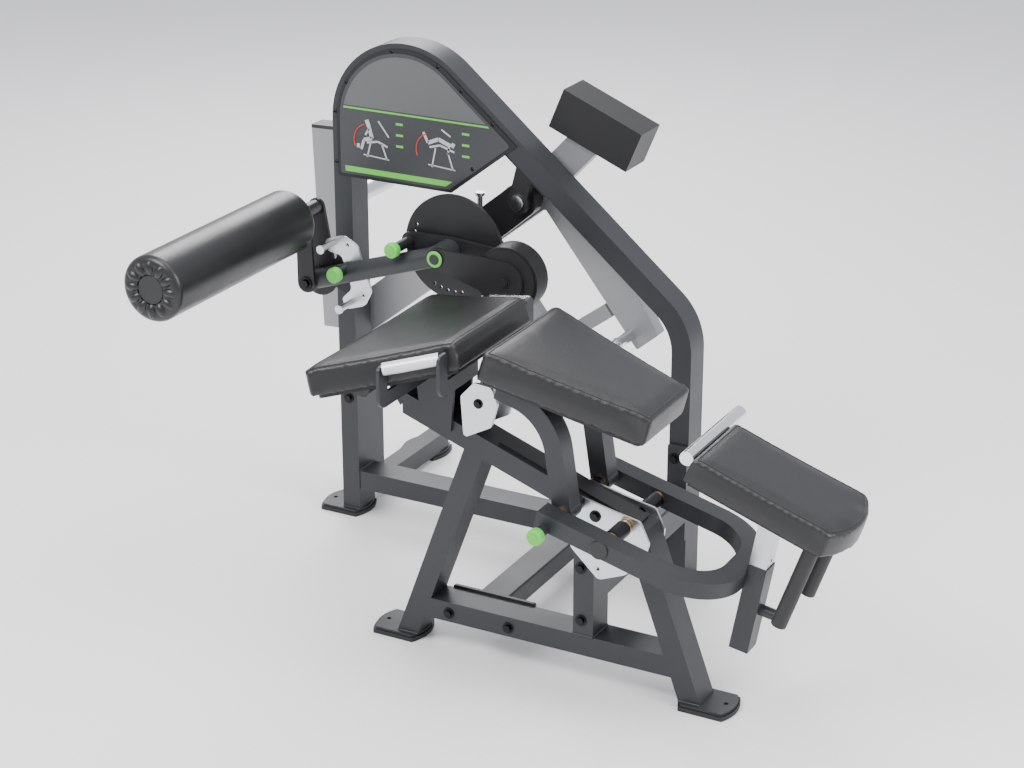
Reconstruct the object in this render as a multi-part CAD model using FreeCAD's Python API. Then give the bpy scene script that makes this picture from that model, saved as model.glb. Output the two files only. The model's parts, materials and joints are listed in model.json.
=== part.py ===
"""Plate-loaded leg extension and prone leg curl machine.

Millimetres, +Z up, +X runs from the roller end to the foot-rest end, and -Y is the user's side.
The origin is on the floor under the centre line of the arch's rear post.
"""

import FreeCAD, Part
import os
from math import acos, atan2, cos, degrees, hypot, radians, sin, tan

Vec = FreeCAD.Vector

# ---------------------------------------------------------------- driving dimensions
# Frame tube stock
TUBE_FACE = 50.8            # seen from the side
TUBE_DEPTH = 76.2           # along Y
TUBE_WALL = 3.0
SPINE_Y = -530.9            # middle plane of the seat frame; the arch stands at Y = 0

# Feet
FOOT_LENGTH = 134.0
FOOT_WIDTH = 108.0
FOOT_BULGE = 14.0           # how far each curved end stands beyond the straight sides
RUBBER_THICK = 10.0
BASE_PLATE_THICK = 6.6
FOOT_MARGIN = 9.0           # foot beyond the tube on its short side
ANCHOR_HOLE = 11.0
ANCHOR_INSET = 26.0         # hole from the foot's outer end
BASE_PLATE_INSET = 4.0      # plate inside the rubber all round

# Arch
SLOPE_ANGLE = 40.1          # downward towards +X
SLOPE_POINT = (643.5, 963.0)    # on the slope's upper edge
ARCH_BEND = 209.0           # outer radius, top
KNEE_BEND = 171.0           # outer radius, lower right
RIGHT_LEG_X = 934.0

# Seat frame
BEAM_ANGLE = 19.7           # downward towards +X
BEAM_POINT = (823.5, 508.0)     # on the beam's top edge
BEAM_LEFT = 478.0
LEG_LEAN = 20.0             # both legs, from the vertical
REAR_LEG_X = 481.0          # at its foot
FRONT_LEG_X = 1208.5        # at its foot
RAIL_Z = 70.0               # underside of the seat frame's rail
FAR_RAIL_Z = 77.0           # underside of the arch's rail
POST_X = 942.5              # short post between rail and beam
FLANGE_THICK = 8.0
CROSS_X = 672.0
CROSS_Z = 101.8
UPPER_CROSS_Z = 225.0
STABILISER_REACH = 436.0    # far end of the rear stabiliser, along Y
STABILISER_TOP = 330.0
STABILISER_BEND = 70.0
REAR_FOOT_Y = 411.0

# Shroud and placard
SHROUD_BOTTOM = 931.0
SHROUD_CORNER_X = 312.5
PANEL_THICK = 3.0
PLACARD_THICK = 1.5

# Main axes, seen from the side (x, z)
LEVER_AXIS = (358.5, 818.0)     # the user's knee
ARM_AXIS = (484.5, 927.0)       # weight arm
ROLLER_ARM_AXIS = (-6.5, 698.0)
ROLLER_AXIS = (-10.5, 878.0)
LEG_REST_AXIS = (1046.5, 420.0)

# Running fits
FIT = 0.05                  # radial clearance of every turning or sliding fit
SIDE_GAP = 0.5              # flat faces of different bodies
THROUGH = 200.0             # length of a cut that passes right through a thin piece

# Drive disc
DISC_RADIUS = 134.0
DISC_THICK = 10.0
DISC_FACE_Y = -113.8        # the face towards the user
DISC_HOLE_CIRCLE = 112.0
DISC_HOLE = 9.0
START_ANGLES = (156, 166, 176, 241, 251, 261, 271, 281)
START_PIN_ANGLE = 176.0
DRIVE_SHAFT_RADIUS = 20.0
CRANK_LENGTH = 62.0
CRANK_ANGLE = 187.0

# Lever
LINK_PLATE_Y = -203.8       # face towards the user
LINK_PLATE_THICK = 8.0
FAR_BAR_Y = -133.8
DRUM_CENTRE = (544.5, 790.0)
DRUM_RADIUS = 82.0
DRUM_FLANGE = 75.5
LEVER_TUBE_RADIUS = 25.0
LEVER_TUBE_Y = -176.3
PEG_LENGTH = 58.0

# Roller arm and roller
NEAR_ARM_Y = -211.8         # face towards the user
FAR_ARM_Y = -148.8
ARM_PLATE_THICK = 8.0
ROLLER_RADIUS = 78.5
ROLLER_NEAR_Y = -838.8
ROLLER_FAR_Y = -268.8
ROLLER_AXLE_RADIUS = 19.0

# Weight arm, on the far side
WEIGHT_ARM_Y = 61.2         # near face
COLUMN_FACE = 66.0
COLUMN_TOP = 1010.0
COLUMN_BOTTOM = 545.0
COLUMN_X = -147.5           # left edge at the top
BOX_LENGTH = 223.0
BOX_HEIGHT = 104.0
BOX_DEPTH = 103.0
BOX_ANGLE = 22.5
BOX_CENTRE = (659.0, 1114.0)

# Cushions
CUSHION_BOARD = 8.0
BOARD_INSET = 12.0
PAD_EDGE = 14.0

# Foot rest
HEAD_SLOPE = 14.7
SLEEVE_LEAN = 10.0
POST_CLEAR = 0.1            # each side, between the head post and its sleeve


# ---------------------------------------------------------------- shape helpers
def polar(centre, radius, angle):
    """The point (x, z) at a radius and an angle in degrees from a centre."""
    return (centre[0] + radius * cos(radians(angle)), centre[1] + radius * sin(radians(angle)))


def bearing(start, end):
    """The direction from one point (x, z) to another, in degrees."""
    return degrees(atan2(end[1] - start[1], end[0] - start[0]))


def meet(point_a, angle_a, point_b, angle_b):
    """Where two lines (x, z) cross, each given by a point and an angle in degrees."""
    ax, az = cos(radians(angle_a)), sin(radians(angle_a))
    bx, bz = cos(radians(angle_b)), sin(radians(angle_b))
    reach = ((point_b[0] - point_a[0]) * bz - (point_b[1] - point_a[1]) * bx) / (ax * bz - az * bx)
    return (point_a[0] + reach * ax, point_a[1] + reach * az)


def outline(corners, plane="xz", level=0.0):
    """A flat face through corners (a, b, corner radius), in the XZ, XY or YZ plane."""
    def place(a, b):
        if plane == "xz":
            return Vec(a, level, b)
        if plane == "xy":
            return Vec(a, b, level)
        return Vec(level, a, b)

    count = len(corners)
    edges = []
    first = None
    last = None
    for index in range(count):
        a, b, radius = corners[index]
        pa, pb = corners[index - 1][:2]
        na, nb = corners[(index + 1) % count][:2]
        here = place(a, b)
        back = (place(pa, pb) - here).normalize()
        ahead = (place(na, nb) - here).normalize()
        if radius <= 0:
            start = here
            end = here
        else:
            half = acos(max(-1.0, min(1.0, back.dot(ahead)))) / 2
            reach = radius / tan(half)
            start = here + back * reach
            end = here + ahead * reach
            centre = here + (back + ahead).normalize() * (radius / sin(half))
            middle = centre + (here - centre).normalize() * radius
        if last is not None and (start - last).Length > 1e-6:
            edges.append(Part.LineSegment(last, start).toShape())
        if radius > 0:
            edges.append(Part.Arc(start, middle, end).toShape())
        if first is None:
            first = start
        last = end
    if (first - last).Length > 1e-6:
        edges.append(Part.LineSegment(last, first).toShape())
    return Part.Face(Part.Wire(Part.sortEdges(edges)[0]))


def side_plate(corners, y_near, thickness):
    """A plate in the XZ plane, from its near face away from the user."""
    return outline(corners, "xz", y_near).extrude(Vec(0, thickness, 0))


def rod(axis, radius, y_near, length):
    """A round bar along Y."""
    return Part.makeCylinder(radius, length, Vec(axis[0], y_near, axis[1]), Vec(0, 1, 0))


def ring(axis, outer, inner, y_near, length):
    """A round tube along Y."""
    return rod(axis, outer, y_near, length).cut(rod(axis, inner, y_near, length))


def round_bar(start, end, radius):
    """A round bar between any two points."""
    return Part.makeCylinder(radius, (end - start).Length, start, end - start)


def strap(centre_a, radius_a, centre_b, radius_b, y_near, thickness):
    """A plate around two circles with straight tangent sides."""
    span = hypot(centre_b[0] - centre_a[0], centre_b[1] - centre_a[1])
    direction = bearing(centre_a, centre_b)
    spread = degrees(acos((radius_a - radius_b) / span))
    a_up = polar(centre_a, radius_a, direction + spread)
    a_down = polar(centre_a, radius_a, direction - spread)
    a_back = polar(centre_a, radius_a, direction + 180)
    b_up = polar(centre_b, radius_b, direction + spread)
    b_down = polar(centre_b, radius_b, direction - spread)
    b_front = polar(centre_b, radius_b, direction)

    def at(point):
        return Vec(point[0], y_near, point[1])

    edges = [
        Part.Arc(at(a_down), at(a_back), at(a_up)).toShape(),
        Part.LineSegment(at(a_up), at(b_up)).toShape(),
        Part.Arc(at(b_up), at(b_front), at(b_down)).toShape(),
        Part.LineSegment(at(b_down), at(a_down)).toShape(),
    ]
    return Part.Face(Part.Wire(edges)).extrude(Vec(0, thickness, 0))


def band(points, bends, width, y_middle, depth):
    """A bar of constant width that follows a bent centre line (x, z), with centre-line bend radii."""
    sides = []
    for sign in (1, -1):
        edge = []
        for index, point in enumerate(points):
            if index == 0:
                heading = bearing(points[0], points[1])
                edge.append(polar(point, sign * width / 2, heading + 90) + (0,))
                continue
            before = bearing(points[index - 1], point)
            if index == len(points) - 1:
                edge.append(polar(point, sign * width / 2, before + 90) + (0,))
                continue
            after = bearing(point, points[index + 1])
            turn = (after - before + 180) % 360 - 180
            reach = sign * width / 2 / cos(radians(turn / 2))
            corner = polar(point, reach, before + turn / 2 + 90)
            radius = bends[index - 1] - (sign * width / 2 if turn > 0 else -sign * width / 2)
            edge.append(corner + (max(radius, 0.5),))
        sides.append(edge)
    return side_plate(sides[0] + sides[1][::-1], y_middle - depth / 2, depth)


def hollow_band(points, bends, width, y_middle, depth, wall):
    """A bent box tube."""
    inner = band(points, bends, width - 2 * wall, y_middle, depth - 2 * wall)
    return band(points, bends, width, y_middle, depth).cut(inner)


def hollow_plate(corners, inner_corners, y_middle, depth, wall):
    """A box tube whose side view is a free polygon."""
    inner = side_plate(inner_corners, y_middle - depth / 2 + wall, depth - 2 * wall)
    return side_plate(corners, y_middle - depth / 2, depth).cut(inner)


def box(x0, x1, y0, y1, z0, z1):
    """A plain block between two corners."""
    return Part.makeBox(x1 - x0, y1 - y0, z1 - z0, Vec(x0, y0, z0))


def box_tube_y(x_mid, z_mid, width, height, y0, y1, wall):
    """A box tube along Y, with its long corners rounded."""
    def section(w, h, radius):
        corners = [(x_mid - w / 2, z_mid - h / 2, radius), (x_mid + w / 2, z_mid - h / 2, radius),
                   (x_mid + w / 2, z_mid + h / 2, radius), (x_mid - w / 2, z_mid + h / 2, radius)]
        return side_plate(corners, y0, y1 - y0)

    return section(width, height, 5.0).cut(section(width - 2 * wall, height - 2 * wall, 2.0))


def joined(shapes):
    """One solid from touching or overlapping shapes."""
    result = shapes[0]
    if len(shapes) > 1:
        result = shapes[0].fuse(shapes[1:])
    return result.removeSplitter()


def group(shapes):
    """Separate solids kept together in one node."""
    return Part.makeCompound(shapes)


def turned(shape, centre, angle):
    """A shape turned about an axis along Y, anticlockwise as the user sees it."""
    copy = shape.copy()
    copy.rotate(Vec(centre[0], 0, centre[1]), Vec(0, -1, 0), angle)
    return copy


def hex_bolt(axis, y_face, radius, washer=0.0, head=None):
    """A washer and a hexagon head that stand on a face and look towards the user."""
    head = radius * 0.62 if head is None else head
    pieces = []
    level = y_face
    if washer:
        pieces.append(rod(axis, radius * 1.45, level - washer, washer))
        level -= washer
    corners = []
    for step in range(6):
        corners.append(polar(axis, radius, 60 * step) + (0,))
    pieces.append(side_plate(corners, level - head, head))
    return joined(pieces)


def button_screw(axis, y_face, radius, height):
    """A low domed screw head that stands on a face and looks towards the user."""
    dome = Part.makeCone(radius, radius * 0.6, height, Vec(axis[0], y_face, axis[1]), Vec(0, -1, 0))
    return dome.cut(rod(axis, radius * 0.3, y_face - height - 1, height * 0.6 + 1))


def export(shape, name):
    """Write one node."""
    shape.exportStep("parts/" + name + ".step")


# ---------------------------------------------------------------- shared places
FOOT_TOP = RUBBER_THICK + BASE_PLATE_THICK
HALF_FACE = TUBE_FACE / 2
HALF_DEPTH = TUBE_DEPTH / 2
ARCH_FRONT = -HALF_DEPTH
ARCH_BACK = HALF_DEPTH
SPINE_FRONT = SPINE_Y - HALF_DEPTH
SPINE_BACK = SPINE_Y + HALF_DEPTH
LEG_LEFT_LEAN = 90 - LEG_LEAN       # direction of the rear leg
LEG_RIGHT_LEAN = 90 + LEG_LEAN      # direction of the front leg
LEG_HALF = HALF_FACE / cos(radians(LEG_LEAN))
BEAM_TOP_LEFT = meet(BEAM_POINT, -BEAM_ANGLE, (BEAM_LEFT, 0), 90)
BEAM_UNDER = polar(BEAM_POINT, TUBE_FACE, -BEAM_ANGLE - 90)


def on_beam(x, rise=0.0):
    """A point at a height above the beam's top edge, square to it, that starts at x."""
    base = meet(BEAM_POINT, -BEAM_ANGLE, (x, 0), 90)
    return polar(base, rise, 90 - BEAM_ANGLE)


def on_slope(x, rise=0.0):
    """A point at a height above the arch slope's upper edge, square to it."""
    base = meet(SLOPE_POINT, -SLOPE_ANGLE, (x, 0), 90)
    return polar(base, rise, 90 - SLOPE_ANGLE)


# ---------------------------------------------------------------- frame
def arch_tube():
    slope_middle = polar(SLOPE_POINT, HALF_FACE, -SLOPE_ANGLE - 90)
    top = meet((0, 0), 90, slope_middle, -SLOPE_ANGLE)
    knee = meet((RIGHT_LEG_X, 0), 90, slope_middle, -SLOPE_ANGLE)
    route = [(0, FOOT_TOP), top, knee, (RIGHT_LEG_X, FOOT_TOP)]
    bends = [ARCH_BEND - HALF_FACE, KNEE_BEND - HALF_FACE]
    return hollow_band(route, bends, TUBE_FACE, 0, TUBE_DEPTH, TUBE_WALL)


def leg(foot_x, direction):
    """A leaning leg, cut level at its foot and along the beam's underside."""
    def corners(half, grow):
        low_left = (foot_x - half, FOOT_TOP - grow)
        low_right = (foot_x + half, FOOT_TOP - grow)
        under = polar(BEAM_UNDER, grow, 90 - BEAM_ANGLE)
        high_right = meet(low_right, direction, under, -BEAM_ANGLE)
        high_left = meet(low_left, direction, under, -BEAM_ANGLE)
        return [low_left + (0,), low_right + (0,), high_right + (0,), high_left + (0,)]

    inner = corners(LEG_HALF - TUBE_WALL / cos(radians(LEG_LEAN)), 5.0)
    return hollow_plate(corners(LEG_HALF, 0.0), inner, SPINE_Y, TUBE_DEPTH, TUBE_WALL)


FRONT_LEG_EDGE = (FRONT_LEG_X + LEG_HALF, FOOT_TOP)
BEAM_TOP_RIGHT = meet(BEAM_POINT, -BEAM_ANGLE, FRONT_LEG_EDGE, LEG_RIGHT_LEAN)


def beam_corners():
    """The sloping beam's outline, seen from the side."""
    under_left = meet(BEAM_UNDER, -BEAM_ANGLE, (BEAM_LEFT, 0), 90)
    under_right = meet(BEAM_UNDER, -BEAM_ANGLE, FRONT_LEG_EDGE, LEG_RIGHT_LEAN)
    return [BEAM_TOP_LEFT + (0,), BEAM_TOP_RIGHT + (0,), under_right + (0,), under_left + (0,)]


def spine_beam():
    inner_top = polar(BEAM_POINT, TUBE_WALL, -BEAM_ANGLE - 90)
    inner_under = polar(BEAM_POINT, TUBE_FACE - TUBE_WALL, -BEAM_ANGLE - 90)
    left = (BEAM_LEFT + TUBE_WALL, 0)
    right = (FRONT_LEG_EDGE[0] - 3 * TUBE_WALL, FOOT_TOP)
    inner = []
    for line, end, direction in ((inner_top, left, 90), (inner_top, right, LEG_RIGHT_LEAN),
                                 (inner_under, right, LEG_RIGHT_LEAN), (inner_under, left, 90)):
        inner.append(meet(line, -BEAM_ANGLE, end, direction) + (0,))
    return hollow_plate(beam_corners(), inner, SPINE_Y, TUBE_DEPTH, TUBE_WALL)


def near_rail():
    """The seat frame's rail, between the two leaning legs."""
    top = RAIL_Z + TUBE_FACE
    left = (REAR_LEG_X + LEG_HALF, FOOT_TOP)
    right = (FRONT_LEG_X - LEG_HALF, FOOT_TOP)
    corners = []
    for level, end, direction in ((RAIL_Z, left, LEG_LEFT_LEAN), (RAIL_Z, right, LEG_RIGHT_LEAN),
                                  (top, right, LEG_RIGHT_LEAN), (top, left, LEG_LEFT_LEAN)):
        corners.append(meet((0, level), 0, end, direction) + (0,))
    x0 = corners[0][0] - 20
    x1 = corners[1][0] + 20
    inner = box(x0, x1, SPINE_FRONT + TUBE_WALL, SPINE_BACK - TUBE_WALL, RAIL_Z + TUBE_WALL, top - TUBE_WALL)
    return side_plate(corners, SPINE_FRONT, TUBE_DEPTH).cut(inner)


def short_post():
    """The upright between the rail and the beam."""
    low = RAIL_Z + TUBE_FACE
    left = POST_X - HALF_FACE
    right = POST_X + HALF_FACE
    corners = [(left, low, 0), (right, low, 0),
               meet(BEAM_UNDER, -BEAM_ANGLE, (right, 0), 90) + (0,),
               meet(BEAM_UNDER, -BEAM_ANGLE, (left, 0), 90) + (0,)]
    inner = box(left + TUBE_WALL, right - TUBE_WALL, SPINE_FRONT + TUBE_WALL, SPINE_BACK - TUBE_WALL,
                0, BEAM_POINT[1])
    return side_plate(corners, SPINE_FRONT, TUBE_DEPTH).cut(inner)


def far_rail():
    """The arch's rail, between its two legs."""
    x0 = HALF_FACE
    x1 = RIGHT_LEG_X - HALF_FACE
    top = FAR_RAIL_Z + TUBE_FACE
    outer = box(x0, x1, ARCH_FRONT, ARCH_BACK, FAR_RAIL_Z, top)
    inner = box(x0 - 1, x1 + 1, ARCH_FRONT + TUBE_WALL, ARCH_BACK - TUBE_WALL,
                FAR_RAIL_Z + TUBE_WALL, top - TUBE_WALL)
    return outer.cut(inner)


LOWER_FLANGE_LENGTH = 217.0
LOWER_FLANGE_HEIGHT = 57.0
FLANGE_CORNER = 5.0
NEAR_FLANGE_Z = (133.0, 270.0)
FAR_FLANGE_Z = (136.0, 388.0)


def cross_tubes():
    """The lower and the upper tube that tie the seat frame to the arch."""
    y0 = SPINE_BACK + FLANGE_THICK
    lower = box_tube_y(CROSS_X, CROSS_Z, TUBE_DEPTH, TUBE_FACE, y0, ARCH_FRONT, TUBE_WALL)
    upper = box_tube_y(RIGHT_LEG_X, UPPER_CROSS_Z, TUBE_FACE, TUBE_DEPTH, y0,
                       ARCH_FRONT - FLANGE_THICK, TUBE_WALL)
    return lower, upper


def flange_plates():
    """The bolted plates on the ends of the cross tubes."""
    half = LOWER_FLANGE_LENGTH / 2
    lower_z = (RAIL_Z, RAIL_Z + LOWER_FLANGE_HEIGHT)
    arch_level = ARCH_FRONT - FLANGE_THICK
    pieces = []
    for x_mid, half_x, heights, level in ((CROSS_X, half, lower_z, SPINE_BACK),
                                          (RIGHT_LEG_X, HALF_FACE, NEAR_FLANGE_Z, SPINE_BACK),
                                          (RIGHT_LEG_X, HALF_FACE, FAR_FLANGE_Z, arch_level)):
        low, high = heights
        corners = [(x_mid - half_x, low, FLANGE_CORNER), (x_mid + half_x, low, FLANGE_CORNER),
                   (x_mid + half_x, high, FLANGE_CORNER), (x_mid - half_x, high, FLANGE_CORNER)]
        pieces.append(side_plate(corners, level, FLANGE_THICK))
    return group(pieces)


def rear_stabiliser():
    """The bent tube behind the rear post that reaches back to its own foot."""
    half = HALF_FACE
    y_up = ARCH_BACK + half
    z_low = FOOT_TOP + half

    def section(width, wall_x, low_end, far_end):
        inner_bend = STABILISER_BEND - width / 2
        outer_bend = STABILISER_BEND + width / 2
        corners = [(y_up - width / 2, low_end, 0), (y_up + width / 2, low_end, 0),
                   (y_up + width / 2, z_low + width / 2, inner_bend),
                   (far_end, z_low + width / 2, 0), (far_end, z_low - width / 2, 0),
                   (y_up - width / 2, z_low - width / 2, outer_bend)]
        return outline(corners, "yz", -wall_x).extrude(Vec(2 * wall_x, 0, 0))

    outer = section(TUBE_FACE, half, STABILISER_TOP, STABILISER_REACH)
    inner = section(TUBE_FACE - 2 * TUBE_WALL, half - TUBE_WALL, STABILISER_TOP - TUBE_WALL,
                    STABILISER_REACH - TUBE_WALL)
    return outer.cut(inner)


def foot_spots():
    """Left end, middle Y and anchor hole side (-1 left, 1 right) of each foot."""
    short = HALF_FACE + FOOT_MARGIN
    leg_short = LEG_HALF + FOOT_MARGIN - 2
    return [
        (short - FOOT_LENGTH, 0.0, -1),
        (short - FOOT_LENGTH, REAR_FOOT_Y, -1),
        (RIGHT_LEG_X - short, 0.0, 1),
        (REAR_LEG_X + leg_short - FOOT_LENGTH, SPINE_Y, -1),
        (FRONT_LEG_X - leg_short, SPINE_Y, 1),
    ]


def foot_slab(x0, y_mid, inset, z0, thickness, hole):
    """A foot layer with straight long sides and bulging ends."""
    x1 = x0 + FOOT_LENGTH - inset
    x0 = x0 + inset
    half = FOOT_WIDTH / 2 - inset
    a = Vec(x0 + FOOT_BULGE, y_mid - half, z0)
    b = Vec(x1 - FOOT_BULGE, y_mid - half, z0)
    c = Vec(x1 - FOOT_BULGE, y_mid + half, z0)
    d = Vec(x0 + FOOT_BULGE, y_mid + half, z0)
    edges = [Part.LineSegment(a, b).toShape(), Part.Arc(b, Vec(x1, y_mid, z0), c).toShape(),
             Part.LineSegment(c, d).toShape(), Part.Arc(d, Vec(x0, y_mid, z0), a).toShape()]
    slab = Part.Face(Part.Wire(edges)).extrude(Vec(0, 0, thickness))
    return slab.cut(Part.makeCylinder(ANCHOR_HOLE / 2, thickness + 2, Vec(hole[0], hole[1], z0 - 1)))


def feet():
    """Rubber pads and the steel base plates on them."""
    rubbers = []
    plates = []
    for x0, y_mid, side in foot_spots():
        hole = (x0 + (ANCHOR_INSET if side < 0 else FOOT_LENGTH - ANCHOR_INSET), y_mid)
        rubbers.append(foot_slab(x0, y_mid, 0.0, 0.0, RUBBER_THICK, hole))
        plates.append(foot_slab(x0, y_mid, BASE_PLATE_INSET, RUBBER_THICK, BASE_PLATE_THICK, hole))
    return group(rubbers), group(plates)


# ---------------------------------------------------------------- shroud and placard
PANEL_Y = ARCH_FRONT - PANEL_THICK
SHROUD_INSET = 14.0             # panel edge inside the tube's outer edge
SHROUD_TIP_ANGLE = 38.0         # the panel's slanted lower right edge
PLACARD_LEFT = -HALF_FACE + 24.0
PLACARD_INSET = 26.0            # along the bend and the slope
PLACARD_RISE = 8.0              # above the panel's lower edge
PLACARD_CORNER = 6.0
BEND_CENTRE = meet((ARCH_BEND - HALF_FACE, 0), 90, polar(SLOPE_POINT, ARCH_BEND, -SLOPE_ANGLE - 90),
                   -SLOPE_ANGLE)
BEND_END_X = BEND_CENTRE[0] + ARCH_BEND * sin(radians(SLOPE_ANGLE))
SCREW_RADIUS = 5.0
SCREW_HEIGHT = 3.0
SCREW_INSET = 19.0              # from the tube's outer edge on the bend
SCREW_TURNS = (60, 100, 150)
SCREW_LEFT = -15.0
SCREW_RISES = (SHROUD_BOTTOM + 35.0, BEND_CENTRE[1] + 18.0)
SLOPE_SCREW_STEPS = (37.0, 122.0)   # beyond the bend's end
SLOPE_SCREW_DROP = -20.0
TIP_SCREW = polar((SHROUD_CORNER_X, SHROUD_BOTTOM), 91.1, 49.2)


def shroud_panel():
    """The plate that fills the arch's shoulder, just in front of the tube's inner edge."""
    left = -HALF_FACE + SHROUD_INSET
    foot = (SHROUD_CORNER_X, SHROUD_BOTTOM)
    slope = polar(SLOPE_POINT, SHROUD_INSET, -SLOPE_ANGLE - 90)
    rise = meet((left, 0), 90, slope, -SLOPE_ANGLE)
    upper = meet(foot, SHROUD_TIP_ANGLE, slope, -SLOPE_ANGLE)
    corners = [(left, SHROUD_BOTTOM, 4), foot + (4,), upper + (2,), rise + (ARCH_BEND - SHROUD_INSET,)]
    return side_plate(corners, PANEL_Y, PANEL_THICK)


def placard():
    """The raised instruction plate on the shroud, in one outline."""
    slope = polar(SLOPE_POINT, PLACARD_INSET, -SLOPE_ANGLE - 90)
    low_left = (PLACARD_LEFT, SHROUD_BOTTOM + PLACARD_RISE)
    foot = (SHROUD_CORNER_X - PLACARD_RISE / 2, SHROUD_BOTTOM + PLACARD_RISE)
    top = meet(low_left, 90, slope, -SLOPE_ANGLE)
    tip = meet(foot, SHROUD_TIP_ANGLE, slope, -SLOPE_ANGLE)
    corners = [low_left + (PLACARD_CORNER,), foot + (PLACARD_CORNER,), tip + (PLACARD_CORNER,),
               top + (ARCH_BEND - PLACARD_INSET,)]
    plate = side_plate(corners, PANEL_Y - PLACARD_THICK, PLACARD_THICK)
    for spot in screw_spots():
        plate = plate.cut(rod(spot, SCREW_RADIUS + FIT, PANEL_Y - PLACARD_THICK - 1, PLACARD_THICK + 2))
    return plate


def screw_spots():
    """Where the button screws stand around the shroud's edge."""
    spots = [TIP_SCREW]
    spots += [(SCREW_LEFT, rise) for rise in SCREW_RISES]
    spots += [on_slope(BEND_END_X + step, SLOPE_SCREW_DROP) for step in SLOPE_SCREW_STEPS]
    spots += [polar(BEND_CENTRE, ARCH_BEND - SCREW_INSET, turn) for turn in SCREW_TURNS]
    return spots


def panel_screws():
    return [button_screw(spot, PANEL_Y, SCREW_RADIUS, SCREW_HEIGHT) for spot in screw_spots()]


# ---------------------------------------------------------------- fixed bearings
CARRIER_Y = -5.0            # near face of the carrier arm
CARRIER_THICK = 38.0
CARRIER_RADIUS = 42.0
BLOCK_FRONT = -25.8
HUB_RADIUS = 34.0
HUB_FRONT = DISC_FACE_Y + DISC_THICK + SIDE_GAP
BASE_THICK = 12.0
WEB_HALF = 26.0
BLOCK_LEFT = 449.5
BLOCK_LENGTH = 154.0
BLOCK_RING_RADIUS = 30.0
BUFFER_ANGLE = 88.0             # where the stop bolt stands on the carrier arm
BUFFER_FOOT = 56.0
BUFFER_TOP = 100.0
BUFFER_RADIUS = 7.0
BUFFER_HEAD = (12.0, 8.0)       # radius, height
SLOPE_UNDER = polar(SLOPE_POINT, TUBE_FACE, -SLOPE_ANGLE - 90)


def bearing_block():
    """The bearing under the arch's slope, with its bolted base."""
    left = meet(SLOPE_UNDER, -SLOPE_ANGLE, (BLOCK_LEFT, 0), 90)
    right = polar(left, BLOCK_LENGTH, -SLOPE_ANGLE)
    base = [left + (0,), right + (0,), polar(right, BASE_THICK, -SLOPE_ANGLE - 90) + (0,),
            polar(left, BASE_THICK, -SLOPE_ANGLE - 90) + (0,)]
    middle = polar(polar(left, BLOCK_LENGTH / 2, -SLOPE_ANGLE), BASE_THICK / 2, -SLOPE_ANGLE - 90)
    web = []
    for centre, direction in ((middle, -SLOPE_ANGLE), (ARM_AXIS, -SLOPE_ANGLE),
                              (ARM_AXIS, 180 - SLOPE_ANGLE), (middle, 180 - SLOPE_ANGLE)):
        web.append(polar(centre, WEB_HALF, direction) + (0,))
    depth = CARRIER_Y - BLOCK_FRONT
    pieces = [side_plate(base, BLOCK_FRONT, depth), rod(ARM_AXIS, BLOCK_RING_RADIUS, BLOCK_FRONT, depth),
              side_plate(web, BLOCK_FRONT, depth)]
    return joined(pieces).cut(rod(ARM_AXIS, DRIVE_SHAFT_RADIUS + FIT, BLOCK_FRONT - 1, depth + 2))


def carrier_arm():
    """The fixed arm that carries the lever's shaft, with its long hub."""
    arm = strap(LEVER_AXIS, CARRIER_RADIUS, ARM_AXIS, CARRIER_RADIUS, CARRIER_Y, CARRIER_THICK)
    hub = rod(LEVER_AXIS, HUB_RADIUS, HUB_FRONT, CARRIER_Y - HUB_FRONT + 1)
    body = joined([arm, hub])
    for axis in (LEVER_AXIS, ARM_AXIS):
        body = body.cut(rod(axis, DRIVE_SHAFT_RADIUS + FIT, HUB_FRONT - 1, THROUGH))
    return body


def stop_bolt():
    """A bright buffer bolt on the carrier arm, above the disc."""
    foot_x, foot_z = polar(LEVER_AXIS, BUFFER_FOOT, BUFFER_ANGLE)
    top_x, top_z = polar(LEVER_AXIS, BUFFER_TOP, BUFFER_ANGLE)
    middle = CARRIER_Y + CARRIER_THICK / 2
    foot = Vec(foot_x, middle, foot_z)
    top = Vec(top_x, middle, top_z)
    head_radius, head_height = BUFFER_HEAD
    return joined([round_bar(foot, top, BUFFER_RADIUS),
                   round_bar(top, top + Vec(0, 0, head_height), head_radius)])


# ---------------------------------------------------------------- drive
CRANK_Y = ARCH_BACK + 2.0
CRANK_THICK = 8.0
LINK_Y = CRANK_Y + CRANK_THICK + 1.0
LINK_THICK = 8.0
LINK_PIN_RADIUS = 8.0
OPEN_PIVOT_GAP = 1.0
CRANK_PIN = polar(LEVER_AXIS, CRANK_LENGTH, CRANK_ANGLE)
ARM_PIN = polar(ARM_AXIS, CRANK_LENGTH, CRANK_ANGLE)
SHAFT_NEAR = LINK_PLATE_Y - 2.0
CRANK_HUB_RADIUS = 26.0
CRANK_TIP_RADIUS = 15.0
LINK_EYE_RADIUS = 14.0
PIN_STAND_OUT = 2.5


def drive_disc():
    """The start-position disc with its ring of holes."""
    disc = rod(LEVER_AXIS, DISC_RADIUS, DISC_FACE_Y, DISC_THICK)
    for angle in START_ANGLES:
        spot = polar(LEVER_AXIS, DISC_HOLE_CIRCLE, angle)
        disc = disc.cut(rod(spot, DISC_HOLE / 2, DISC_FACE_Y - 1, DISC_THICK + 2))
    return disc.cut(rod(LEVER_AXIS, DRIVE_SHAFT_RADIUS, DISC_FACE_Y - 1, DISC_THICK + 2))


def drive_shaft():
    return rod(LEVER_AXIS, DRIVE_SHAFT_RADIUS, SHAFT_NEAR, CRANK_Y - SHAFT_NEAR)


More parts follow.
